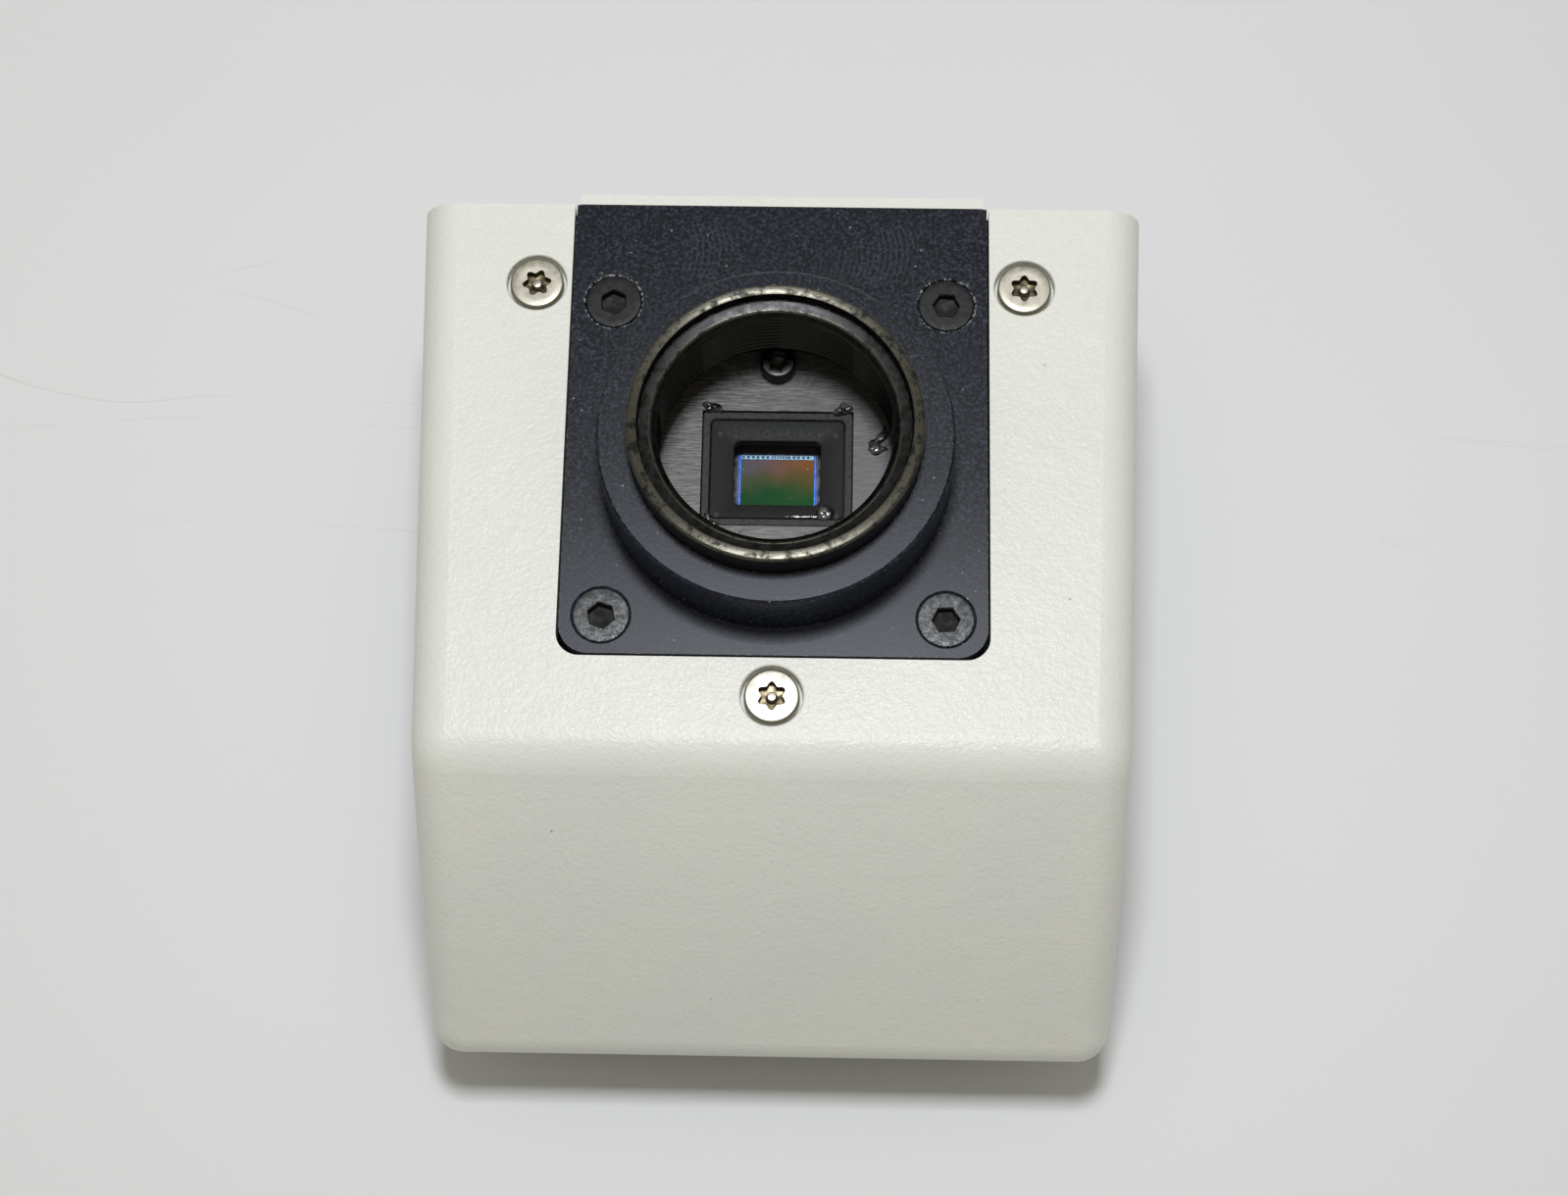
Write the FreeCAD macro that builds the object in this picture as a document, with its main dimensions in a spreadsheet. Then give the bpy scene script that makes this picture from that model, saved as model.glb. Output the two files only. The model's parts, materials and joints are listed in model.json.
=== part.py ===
import FreeCAD, Part
import math
import os
import re
import Sketcher

# A cooled camera head. Millimetres, +Z along the optical axis and out of the lens mount,
# +Y towards the end with the sockets. The origin is the centre of the lens mount's flange,
# so every level below is a negative Z.

DRIVING = {
    # lens mount
    "flange_focus": 17.526,   # flange to the sensor's surface
    "face_drop": 11.25,       # flange to the hood's flat front
    "collar_drop": 3.5,       # flange to the top of the collar
    "ring_radius": 15.45,
    "ring_length": 9.5,
    "thread_bore": 12.3,      # wall of the lens thread, at its crests
    "rim_width": 1.15,        # bright flat rim of the ring
    "rim_step": 1.0,
    "ledge_radius": 12.95,
    "ring_break": 0.2,        # bevel round the ring's outer edge
    "rim_draft": 0.15,        # how far the step under the rim leans inwards
    "ledge_fall": 0.3,        # ledge's outer edge below the step
    "thread_fall": 0.9,       # thread's first crest below the step
    "ring_clear": 0.05,       # running clearance of the ring in the collar
    "ring_stroke": 0.5,
    "collar_wall": 3.23,
    "throat_step": 1.2,       # ring's outer wall to the throat's wall under it
    "seal_section": 0.45,
    "seal_rise": 1.9,         # seal's centre above the ring's lower end
    "seal_slack": 0.15,       # seal's groove beyond the seal, each side
    "seal_free": 0.03,
    "grub_radius": 1.0,
    "grub_length": 2.4,
    "grub_drop": 2.6,         # grub screws below the collar's top
    "grub_gap": 0.2,          # grub screws short of the ring
    "collar_bevel": 0.3,
    # mount plate
    "plate_half": 22.4,
    "plate_low": 21.7,        # axis to the plate's rounded end
    "plate_high": 30.1,       # axis to the plate's square end
    "plate_thick": 2.8,
    "plate_corner": 3.2,
    "notch_gap": 0.25,
    "core_shift": 0.5,        # centre of the screw square, off the axis
    "plate_screw_half": 18.0,
    "plate_head": 3.0,
    "plate_recess": 3.22,
    "plate_shank": 1.5,
    "plate_screw_length": 8.0,
    "plate_socket": 2.2,
    "plate_socket_deep": 1.1,
    "head_sink": 0.05,
    "head_land": 0.12,        # straight band above the cone of a countersunk head
    "cone_gap": 0.02,
    # gaps and cuts that many pieces share
    "hole_clear": 0.1,        # a plain hole round its screw
    "thread_slack": 0.02,     # a tapped hole round its screw
    "tap_room": 0.5,          # tapped hole beyond the screw's end
    "snug": 0.05,
    "cut_past": 1.0,          # how far a through cut runs past the face
    "cut_reach": 10.0,
    # chamber
    "floor_thick": 2.3,
    "floor_clear": 0.1,
    "window_wide": 16.3,
    "window_high": 13.3,
    "window_shift": 0.4,      # centre of the window, off the axis
    "mask_sink": 0.2,
    "mask_gap": 0.1,
    "aperture_wide": 9.3,
    "aperture_high": 7.3,
    "aperture_round": 0.8,
    "glass_thick": 0.75,
    "glass_gap": 0.05,
    "package_wide": 17.5,
    "package_high": 14.8,
    "package_floor": 1.774,   # carrier's thickness under the chip
    "cavity_wide": 12.2,
    "cavity_high": 9.6,
    "die_wide": 9.6,
    "die_high": 7.6,
    "die_thick": 0.5,
    "bond_pitch": 0.56,
    "bond_inset": 0.35,
    "bond_half_wide": 0.16,
    "bond_half_high": 0.2,
    "bond_thick": 0.03,
    "lead_pitch": 1.27,
    "lead_height": 0.5,
    "lead_inset": 0.6,
    "lead_half_wide": 0.25,
    "lead_half_high": 0.4,
    "glue_step": 0.3,         # corner dabs outside the window's corners
    "glue_radius": 0.28,
    "glue_thick": 0.25,
    "stray_dab_right": 11.3,
    "stray_dab_up": 3.9,
    "stray_dab_radius": 0.8,
    "board_thick": 1.6,
    "board_gap": 0.5,         # sensor board to the chamber's wall
    "floor_screw_place": 12.1,
    "floor_screw_shift": 0.1,
    "floor_screw_head": 1.9,
    "floor_screw_tall": 2.0,
    "floor_screw_shank": 1.0,
    "floor_screw_bite": 2.5,
    "floor_socket": 1.5,
    "floor_socket_deep": 1.0,
    "floor_screw_bevel": 0.2,
    "spacer_radius": 1.6,
    "spacer_place": 11.6,
    "spacer_low": 4.5,
    "tablet_place": 11.4,
    "tablet_radius": 2.4,
    "tablet_thick": 2.4,
    "flex_wide": 9.0,
    "flex_thick": 0.2,
    "flex_start": 7.0,        # flex's inner end beyond the cold finger's post
    "flex_stand": 0.25,       # flex off the housing's side
    "flex_foot": 3.6,
    "slot_gap": 0.35,
    "slot_start": 3.0,
    "finger_half": 4.8,
    "finger_gap": 0.4,
    "finger_step": 0.5,
    "finger_plate": 1.3,
    "bead_place": 2.6,        # thermistor beyond the cold finger's post
    "bead_half_wide": 0.8,
    "bead_half_high": 0.5,
    "bead_thick": 0.4,
    # cooler
    "cooler_half": 10.0,
    "ceramic_thick": 0.7,
    "pellet_tall": 1.4,
    "pellet_side": 1.2,
    "pad_thick": 0.3,
    "foam_gap": 0.4,
    "foam_slack": 0.3,
    "foam_short": 0.2,
    "chamber_margin": 1.36,   # cooler's corner to the chamber's wall
    # housing
    "housing_inset": 1.0,
    "recess_step": 3.0,       # chamber's wall to the edge of the floor's recess
    "upper_seal_step": 1.598, # floor's recess to the middle of the upper seal
    "lower_seal_step": 1.8,
    "seal_half": 0.45,
    "groove_half": 0.5,
    "groove_deep": 1.0,
    "boss_inset": 1.4,
    "chamber_screw_inset": 3.2,
    "chamber_shank": 1.25,
    "chamber_head": 2.25,
    "chamber_head_tall": 2.0,
    "chamber_socket": 2.0,
    "chamber_socket_deep": 1.2,
    "chamber_bevel": 0.25,
    "well_gap": 0.4,
    "chamber_bite": 4.5,
    # boards behind the chamber
    "main_gap": 0.7,
    "socket_room": 8.1,
    "board_edge": 1.3,
    "board_length": 71.0,
    "boss_gap": 1.0,
    "post_gap": 0.4,
    "standoff_radius": 2.4,
    "standoff_inset": 3.0,
    "standoff_reach": 15.0,
    "standoff_shift": 9.0,
    "standoff_tap": 5.0,
    "board_hole": 1.3,
    "board_shank": 1.25,
    "board_head": 2.2,
    "board_head_tall": 1.4,
    "board_bite": 4.0,
    "board_bevel": 0.3,
    "small_socket": 1.6,
    "small_socket_deep": 0.7,
    "chip_tall": 1.3,
    # chassis and heat sink
    "chassis_thick": 3.3,
    "chassis_show": 1.75,     # how far the chassis stands below the hood's rim
    "chassis_gap": 0.35,
    "boss_slack": 0.4,
    "sink_base": 3.0,
    "fin_tall": 4.8,
    "fin_thick": 1.3,
    "fin_count": 16,
    "sink_half": 31.0,
    "sink_low": 40.0,
    "sink_high": 26.0,
    "corner_pad": 11.0,
    "foot_radius": 4.4,
    "foot_recess": 0.3,
    "foot_tall": 1.75,
    "foot_round": 0.5,
    "sink_screw_inset": 4.0,
    "sink_screw_reach": 14.5,
    "sink_screw_short": 0.3,
    # hood
    "hood_half_high": 39.4,   # half width at the open end
    "hood_taper": 2.85,       # how much narrower each side is at the rounded end
    "hood_low": 58.3,
    "hood_high": 30.15,
    "crease": 32.5,           # axis to the line where the slope starts
    "slope_bulge": 1.0,
    "rim_band": 1.3,          # upright band at the foot of the slope
    "hood_roof": 2.6,
    "hood_wall": 2.35,
    "front_round": 3.8,
    "crease_round": 7.0,
    "corner_round": 3.6,
    "cavity_drop": 0.6,
    "roof_past": 1.0,
    "notch_tight": 0.7,       # notch's corners tighter than the plate's
    "hood_screw_edge": 12.94,
    "hood_screw_high": 20.7,
    "hood_screw_low": 26.05,
    "hood_recess": 3.25,
    "recess_round": 0.25,
    "recess_deep": 1.45,
    "hood_head": 2.9,
    "hood_head_tall": 1.35,
    "hood_shank": 1.5,
    "hood_head_bevel": 0.35,
    "hood_socket": 2.9,
    "hood_socket_deep": 0.8,
    "hood_pin": 0.5,
    "hood_screw_length": 7.0,
    "post_radius": 3.0,
    # end panel and sockets
    "panel_gap": 0.05,
    "panel_thick": 1.2,
    "panel_inset": 0.7,
    "panel_drop": 2.75,
    "panel_lift": 0.45,
    "tab_gap": 0.35,
    "panel_screw_edge": 5.0,
    "panel_shank": 1.25,
    "panel_hole": 1.4,
    "panel_head": 2.3,
    "panel_head_tall": 1.3,
    "panel_bevel": 0.4,
    "panel_bite": 7.0,
    "wall_shift": 0.3,
    "data_place": 8.5,
    "data_wide": 12.6,
    "data_tall": 7.0,
    "data_wall": 0.8,
    "tongue_inset": 2.4,
    "tongue_half": 0.9,
    "socket_deep": 10.9,
    "socket_back": 1.5,       # solid wall behind a socket's mouth
    "socket_stand": 1.05,
    "cutout_gap": 0.2,
    "power_place": 11.0,
    "power_radius": 3.9,
    "power_bore": 3.1,
    "power_pin": 1.0,
    "power_flange": 5.4,
    "flange_thick": 1.5,
    "lens_radius": 1.5,
    "lens_rise": 9.0,
    "lens_stand": 0.4,
    "lens_length": 3.2,       # indicator behind the panel and proud of it, together
}

doc = FreeCAD.newDocument("camera_head")
sheet = doc.addObject("Spreadsheet::Sheet", "Sizes")
for row, (alias, number) in enumerate(DRIVING.items(), start=1):
    sheet.set("A%d" % row, str(number))
    sheet.setAlias("A%d" % row, alias)
doc.recompute()

WORD = re.compile(r"[a-z][a-z_]*[a-z]")
PARTS = []


def bound(text):
    """The expression with every driving size written as a reference to the sheet."""
    return WORD.sub(lambda hit: "Sizes." + hit.group(0) if hit.group(0) in DRIVING else hit.group(0), text)


def value(text):
    return float(sheet.evalExpression(bound(text)))


# Levels along Z and distances that several sub-parts share, as expressions in the sizes.
FACE = "(-face_drop)"
PLATE_BACK = "(-face_drop - plate_thick)"
THROAT = "(ring_radius - throat_step)"
COLLAR_BORE = "(ring_radius + ring_clear)"
COLLAR = "(ring_radius + ring_clear + collar_wall)"
FLOOR_BACK = f"({PLATE_BACK} - floor_thick)"
GLASS_TOP = f"({FLOOR_BACK} + glass_thick)"
PACKAGE_BACK = "(-flange_focus - die_thick - package_floor)"
BOARD_TOP = f"({PACKAGE_BACK} - lead_height)"
BOARD_BACK = f"({BOARD_TOP} - board_thick)"
FINGER_TOP = f"({BOARD_BACK} - finger_step)"
COOLER_TOP = f"({FINGER_TOP} - finger_plate)"
PELLET_TOP = f"({COOLER_TOP} - ceramic_thick)"
PELLET_BACK = f"({PELLET_TOP} - pellet_tall)"
COOLER_BACK = f"({PELLET_BACK} - ceramic_thick)"
HOUSING_BACK = f"({COOLER_BACK} - pad_thick)"
MAIN_TOP = f"({HOUSING_BACK} - main_gap)"
MAIN_BACK = f"({MAIN_TOP} - board_thick)"
CHASSIS_TOP = f"({MAIN_BACK} - socket_room)"
CHASSIS_BACK = f"({CHASSIS_TOP} - chassis_thick)"
RIM = f"({CHASSIS_BACK} + chassis_show)"
BASE_BACK = f"({CHASSIS_BACK} - sink_base)"
FIN_TIP = f"({BASE_BACK} - fin_tall)"
FOOT_TOP = f"({FIN_TIP} + foot_recess)"
SOCKET_LEVEL = f"({MAIN_BACK} - socket_room / 2 + snug)"

SPACER_REACH = "(sqrt(spacer_place ^ 2 + spacer_low ^ 2) + spacer_radius)"
CHAMBER = f"(max(cooler_half * sqrt(2); {SPACER_REACH}) + chamber_margin)"
FLOOR_RECESS = f"({CHAMBER} + recess_step)"
UPPER_SEAL = f"({FLOOR_RECESS} + upper_seal_step)"
HOUSING_HALF = "(plate_half - housing_inset)"
BOSS_HALF = f"({HOUSING_HALF} - boss_inset)"
CHAMBER_SCREW = f"({HOUSING_HALF} - chamber_screw_inset)"
HOOD_DEPTH = f"({FACE} - {RIM})"
SLOPE_FOOT = f"({RIM} + rim_band)"
HOOD_HALF_LOW = "(hood_half_high - hood_taper)"
CAVITY_HALF = f"({HOOD_HALF_LOW} - hood_wall)"
CHASSIS_HALF = f"({CAVITY_HALF} - chassis_gap)"
CHASSIS_HIGH = "(hood_high - chassis_gap)"
CHASSIS_LOW = "(hood_low - hood_wall * sqrt(2) - chassis_gap - chassis_show)"
BOARD_HALF = f"({CAVITY_HALF} - board_edge)"
BOARD_HIGH = "(hood_high - board_edge)"
HOOD_SCREW = "(hood_half_high - hood_screw_edge)"
PANEL_FRONT = "(hood_high + panel_gap)"
PANEL_BACK = "(hood_high + panel_gap + panel_thick)"
PANEL_FOOT = f"({RIM} - panel_lift)"
PANEL_HALF = "(hood_half_high - panel_inset)"
WALL_MIDDLE = f"(({CAVITY_HALF} + hood_half_high) / 2 - wall_shift)"


# ---- making features -------------------------------------------------------------------

def new_body(name):
    part = doc.addObject("PartDesign::Body", name)
    part.Label = name
    PARTS.append(part)
    return part


def new_sketch(part, plane="XY_Plane", at="0"):
    """A sketch on one of the body's own planes, moved to Z = at (or X or Y = at)."""
    sketch = part.newObject("Sketcher::SketchObject", part.Name + "_sketch")
    origin = next(item for item in part.Origin.OriginFeatures if item.Role == plane)
    sketch.AttachmentSupport = [(origin, "")]
    sketch.MapMode = "FlatFace"
    along = f"-({at})" if plane == "XZ_Plane" else at
    sketch.setExpression("AttachmentOffset.Base.z", bound(along))
    return sketch


def constrain(sketch, size, *reference):
    index = sketch.addConstraint(Sketcher.Constraint(*reference, value(size)))
    sketch.setExpression("Constraints[%d]" % index, bound(size))


def polygon(sketch, corners):
    """A closed outline of straight lines whose corners are pairs of expressions."""
    first = sketch.GeometryCount
    places = [FreeCAD.Vector(value(x), value(y), 0) for x, y in corners]
    count = len(corners)
    for index, place in enumerate(places):
        sketch.addGeometry(Part.LineSegment(place, places[(index + 1) % count]))
    for index in range(count):
        following = first + (index + 1) % count
        sketch.addConstraint(Sketcher.Constraint("Coincident", first + index, 2, following, 1))
    for index, (x, y) in enumerate(corners):
        constrain(sketch, x, "DistanceX", -1, 1, first + index, 1)
        constrain(sketch, y, "DistanceY", -1, 1, first + index, 1)


def rectangle(sketch, x, y, half_wide, half_high):
    left = f"({x}) - ({half_wide})"
    right = f"({x}) + ({half_wide})"
    low = f"({y}) - ({half_high})"
    high = f"({y}) + ({half_high})"
    polygon(sketch, [(left, low), (right, low), (right, high), (left, high)])


def circle(sketch, x, y, radius):
    centre = FreeCAD.Vector(value(x), value(y), 0)
    index = sketch.addGeometry(Part.Circle(centre, FreeCAD.Vector(0, 0, 1), value(radius)))
    constrain(sketch, x, "DistanceX", -1, 1, index, 3)
    constrain(sketch, y, "DistanceY", -1, 1, index, 3)
    constrain(sketch, radius, "Radius", index)


def hexagon(sketch, x, y, flats, turn=0.0):
    """A hexagon of the given width across its flats."""
    corners = []
    for step in range(6):
        angle = math.radians(60 * step + turn)
        across = math.cos(angle) / math.sqrt(3)
        up = math.sin(angle) / math.sqrt(3)
        corners.append((f"({x}) + ({flats}) * ({across:.6f})", f"({y}) + ({flats}) * ({up:.6f})"))
    polygon(sketch, corners)


def extrude(kind, sketch, length, backwards, symmetric):
    part = sketch.getParentGeoFeatureGroup()
    feature = part.newObject("PartDesign::" + kind, part.Name + "_" + kind.lower())
    feature.Profile = sketch
    feature.setExpression("Length", bound(length))
    feature.Reversed = backwards
    if symmetric:
        feature.SideType = "Symmetric"
    sketch.Visibility = False
    return feature


def pad(sketch, length, down=False, symmetric=False):
    """Add material along the sketch's normal, or against it when down is true."""
    return extrude("Pad", sketch, length, down, symmetric)


def pocket(sketch, length, up=False, symmetric=False):
    """Cut against the sketch's normal, or along it when up is true."""
    return extrude("Pocket", sketch, length, up, symmetric)


def revolve(sketch, kind="Revolution"):
    """Turn the sketch a full circle round the lens axis."""
    part = sketch.getParentGeoFeatureGroup()
    feature = part.newObject("PartDesign::" + kind, part.Name + "_" + kind.lower())
    feature.Profile = sketch
    feature.ReferenceAxis = (sketch, ["V_Axis"])
    feature.Angle = 360
    return feature


def dress(kind, part, size, test):
    """Round or bevel the edges of the body's last feature that pass the test."""
    doc.recompute()
    base = part.Tip
    names = ["Edge%d" % (index + 1) for index, edge in enumerate(base.Shape.Edges) if test(edge)]
    feature = part.newObject("PartDesign::" + kind, part.Name + "_" + kind.lower())
    feature.Base = (base, names)
    feature.setExpression("Radius" if kind == "Fillet" else "Size", bound(size))
    return feature


def middle(edge):
    return edge.valueAt((edge.FirstParameter + edge.LastParameter) / 2)


def upright_at(spots):
    """A test for edges along Z that stand at one of the given (x, y) expressions."""
    places = [(value(x), value(y)) for x, y in spots]

    def test(edge):
        box = edge.BoundBox
        if box.ZLength < TOUCH or box.XLength > TOUCH or box.YLength > TOUCH:
            return False
        return any(math.hypot(box.XMin - x, box.YMin - y) < 2 * TOUCH for x, y in places)
    return test


def circles_at(level, radius, along="z"):
    """A test for round edges of one radius that lie at one level."""
    height = value(level)
    size = value(radius)

    def test(edge):
        if not isinstance(edge.Curve, Part.Circle):
            return False
        if abs(edge.Curve.Radius - size) > TOUCH:
            return False
        return abs(getattr(edge.Curve.Center, along) - height) < TOUCH
    return test


def four_corners(half_wide, half_high, y="0"):
    return [(f"({side}) * ({half_wide})", f"({y}) + ({end}) * ({half_high})")
            for side in (-1, 1) for end in (-1, 1)]


def discs(name, places, radius, top, thick):
    """One round solid at each place."""
    part = new_body(name)
    sketch = new_sketch(part, at=top)
    for x, y in places:
        circle(sketch, x, y, radius)
    pad(sketch, thick, down=True)
    return part


def block(name, x, y, half_wide, half_high, top, thick):
    """One rectangular plate hanging from its top level."""
    part = new_body(name)
    sketch = new_sketch(part, at=top)
    rectangle(sketch, x, y, half_wide, half_high)
    pad(sketch, thick, down=True)
    return part


def seal_ring(name, place, section, level):
    """A rubber ring round the lens axis."""
    part = new_body(name)
    sketch = new_sketch(part, "XZ_Plane")
    circle(sketch, place, level, section)
    revolve(sketch)
    return part


def cells(name, places, half_wide, half_high, foot, tall):
    """One small upright block at each place, all in one sub-part."""
    made = []
    for number, (x, y) in enumerate(places):
        cell = doc.addObject("Part::Box", "%s_%d" % (name, number))
        cell.setExpression("Length", bound(f"2 * ({half_wide})"))
        cell.setExpression("Width", bound(f"2 * ({half_high})"))
        cell.setExpression("Height", bound(tall))
        cell.setExpression("Placement.Base.x", bound(f"({x}) - ({half_wide})"))
        cell.setExpression("Placement.Base.y", bound(f"({y}) - ({half_high})"))
        cell.setExpression("Placement.Base.z", bound(foot))
        made.append(cell)
    group = doc.addObject("Part::Compound", name)
    group.Label = name
    group.Links = made
    PARTS.append(group)


def screws(name, places, seat, head, tall, shank, length, plane="XY_Plane", along=False,
           socket=None, deep=None, bevel=None):
    """Headed screws. Each shank leaves its head's seat against the plane's normal, or along it."""
    part = new_body(name)
    shanks = new_sketch(part, plane, seat)
    for x, y in places:
        circle(shanks, x, y, shank)
    pad(shanks, length, down=not along)
    heads = new_sketch(part, plane, seat)
    for x, y in places:
        circle(heads, x, y, head)
    pad(heads, tall, down=along)
    outward = "-" if along else "+"
    if plane == "XZ_Plane":
        outward = "+" if along else "-"
    crown = f"({seat}) {outward} ({tall})"
    axis = "y" if plane == "XZ_Plane" else "z"
    if bevel:
        dress("Chamfer", part, bevel, circles_at(crown, head, axis))
    if socket:
        sockets = new_sketch(part, plane, crown)
        for x, y in places:
            hexagon(sockets, x, y, socket)
        pocket(sockets, deep, up=along)
    return part


# ---- places that repeat ----------------------------------------------------------------

PLATE_SCREWS = four_corners("plate_screw_half", "plate_screw_half", "core_shift")
CHAMBER_SCREWS = four_corners(CHAMBER_SCREW, CHAMBER_SCREW, "core_shift")
HOOD_SCREWS = [(f"-{HOOD_SCREW}", "hood_screw_high"), (HOOD_SCREW, "hood_screw_high"), ("0", "-hood_screw_low")]
SINK_MIDDLE = "((sink_high - sink_low) / 2)"
SINK_REACH = "((sink_high + sink_low) / 2)"
FEET = four_corners("sink_half - corner_pad / 2", f"{SINK_REACH} - corner_pad / 2", SINK_MIDDLE)
SINK_SCREWS = four_corners("sink_half - sink_screw_inset", f"{SINK_REACH} - sink_screw_reach", SINK_MIDDLE)
BOARD_MIDDLE = f"({BOARD_HIGH} - board_length / 2)"
STANDOFFS = four_corners(f"{BOARD_HALF} - standoff_inset", "board_length / 2 - standoff_reach",
                         f"{BOARD_MIDDLE} - standoff_shift")
SPACERS = [("-floor_screw_shift", "floor_screw_place"), ("-spacer_place", "-spacer_low"),
           ("spacer_place", "-spacer_low")]
PANEL_SCREWS = [(f"({side}) * {WALL_MIDDLE}", level) for side in (-1, 1)
                for level in (f"{FACE} - panel_drop - panel_screw_edge", f"{PANEL_FOOT} + panel_screw_edge")]
GRUB_ANGLES = (50, 130)
BOND_COUNT = 16
LEAD_COUNT = 10
PELLET_COUNT = 8
# chips: middle across the board, middle above the board's lower edge, half width, half height
CHIPS = [("0", "6", "6", "4.5"), ("-13", "6", "3.5", "4.5"), ("13", "6", "3.5", "4.5"),
         ("-13", "14.5", "4", "2"), ("13", "14.5", "4", "2")]
TOUCH = 0.01                  # how near two places are to count as one


# ---- lens mount ------------------------------------------------------------------------

def make_c_mount_ring():
    """The threaded ring: bright flat rim, a step down to a ledge, then the lens thread's wall."""
    part = new_body("c_mount_ring")
    sketch = new_sketch(part, "XZ_Plane")
    seal_level = "(seal_rise - ring_length)"
    groove_floor = "(ring_radius - 2 * seal_section - seal_slack)"
    polygon(sketch, [
        ("thread_bore", "-ring_length"),
        ("ring_radius", "-ring_length"),
        ("ring_radius", f"{seal_level} - seal_section - seal_slack"),
        (groove_floor, f"{seal_level} - seal_section - seal_slack"),
        (groove_floor, f"{seal_level} + seal_section + seal_slack"),
        ("ring_radius", f"{seal_level} + seal_section + seal_slack"),
        ("ring_radius", "-ring_break"),
        ("ring_radius - ring_break", "0"),
        ("ring_radius - rim_width", "0"),
        ("ring_radius - rim_width - rim_draft", "-rim_step"),
        ("ledge_radius", "-rim_step - ledge_fall"),
        ("thread_bore", "-rim_step - thread_fall"),
    ])
    revolve(sketch)


def make_ring_seal():
    seal_ring("ring_seal", "ring_radius - seal_section - seal_free", "seal_section - seal_free",
              "seal_rise - ring_length")


def make_ring_lock_screws():
    """Two grub screws in the collar's wall, short of the ring by their setting gap."""
    for number, angle in enumerate(GRUB_ANGLES):
        turn = FreeCAD.Rotation(FreeCAD.Vector(0, 0, 1), angle)
        tilt = FreeCAD.Rotation(FreeCAD.Vector(0, 1, 0), 90)
        grub = doc.addObject("Part::Cylinder", "grub_%d" % number)
        grub.setExpression("Radius", bound("grub_radius"))
        grub.setExpression("Height", bound("grub_length"))
        grub.Placement = FreeCAD.Placement(FreeCAD.Vector(0, 0, 0), turn.multiply(tilt))
        start = f"({COLLAR_BORE} + grub_gap)"
        grub.setExpression("Placement.Base.x", bound(f"{start} * ({math.cos(math.radians(angle)):.6f})"))
        grub.setExpression("Placement.Base.y", bound(f"{start} * ({math.sin(math.radians(angle)):.6f})"))
        grub.setExpression("Placement.Base.z", bound("-collar_drop - grub_drop"))
    pair = doc.addObject("Part::Compound", "ring_lock_screws")
    pair.Label = "ring_lock_screws"
    pair.Links = [doc.getObject("grub_%d" % number) for number in range(len(GRUB_ANGLES))]
    PARTS.append(pair)


def make_mount_plate():
    """The black plate: square at the open end, rounded at the other, with the round collar."""
    part = new_body("mount_plate")
    outline = new_sketch(part, at=FACE)
    polygon(outline, [("-plate_half", "-plate_low"), ("plate_half", "-plate_low"),
                      ("plate_half", "plate_high"), ("-plate_half", "plate_high")])
    pad(outline, "plate_thick", down=True)
    dress("Fillet", part, "plate_corner",
          upright_at([("-plate_half", "-plate_low"), ("plate_half", "-plate_low")]))
    collar = new_sketch(part, at=FACE)
    circle(collar, "0", "0", COLLAR)
    pad(collar, "face_drop - collar_drop")
    bore = new_sketch(part, at="-collar_drop")
    circle(bore, "0", "0", COLLAR_BORE)
    pocket(bore, "ring_length + 2 * ring_stroke - collar_drop")
    throat = new_sketch(part, at="-collar_drop")
    circle(throat, "0", "0", THROAT)
    pocket(throat, "face_drop + plate_thick - collar_drop + cut_past")
    holes = new_sketch(part, at=FACE)
    for x, y in PLATE_SCREWS:
        circle(holes, x, y, "plate_shank + hole_clear")
    pocket(holes, "plate_thick + cut_past")
    dress("Chamfer", part, "plate_recess - plate_shank - hole_clear",
          circles_at(FACE, "plate_shank + hole_clear"))
    dress("Chamfer", part, "collar_bevel", circles_at("-collar_drop", COLLAR))
    for angle in GRUB_ANGLES:
        hole = doc.addObject("PartDesign::SubtractiveCylinder", "grub_hole_%d" % angle)
        part.addObject(hole)
        hole.setExpression("Radius", bound("grub_radius + thread_slack"))
        hole.setExpression("Height", bound("collar_wall * 2"))
        turn = FreeCAD.Rotation(FreeCAD.Vector(0, 0, 1), angle)
        tilt = FreeCAD.Rotation(FreeCAD.Vector(0, 1, 0), 90)
        hole.AttachmentOffset = FreeCAD.Placement(FreeCAD.Vector(0, 0, 0), turn.multiply(tilt))
        origin = next(item for item in part.Origin.OriginFeatures if item.Role == "XY_Plane")
        hole.AttachmentSupport = [(origin, "")]
        hole.MapMode = "FlatFace"
        start = f"({COLLAR_BORE} - hole_clear)"
        for axis, share in (("x", math.cos(math.radians(angle))), ("y", math.sin(math.radians(angle)))):
            hole.setExpression("AttachmentOffset.Base." + axis, bound(f"{start} * ({share:.6f})"))
        hole.setExpression("AttachmentOffset.Base.z", bound("-collar_drop - grub_drop"))


def make_plate_screws():
    """Countersunk screws that hold the plate to the chamber housing."""
    part = new_body("plate_screws")
    crown = f"({FACE} - head_sink)"
    cone = "(plate_head - plate_shank - cone_gap)"
    heads = new_sketch(part, at=crown)
    for x, y in PLATE_SCREWS:
        circle(heads, x, y, "plate_head")
    pad(heads, f"{cone} + head_land", down=True)
    shanks = new_sketch(part, at=crown)
    for x, y in PLATE_SCREWS:
        circle(shanks, x, y, "plate_shank")
    pad(shanks, "plate_screw_length", down=True)
    dress("Chamfer", part, cone, circles_at(f"{crown} - {cone} - head_land", "plate_head"))
    sockets = new_sketch(part, at=crown)
    for x, y in PLATE_SCREWS:
        hexagon(sockets, x, y, "plate_socket", 90)
    pocket(sockets, "plate_socket_deep")


# ---- chamber ---------------------------------------------------------------------------

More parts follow.
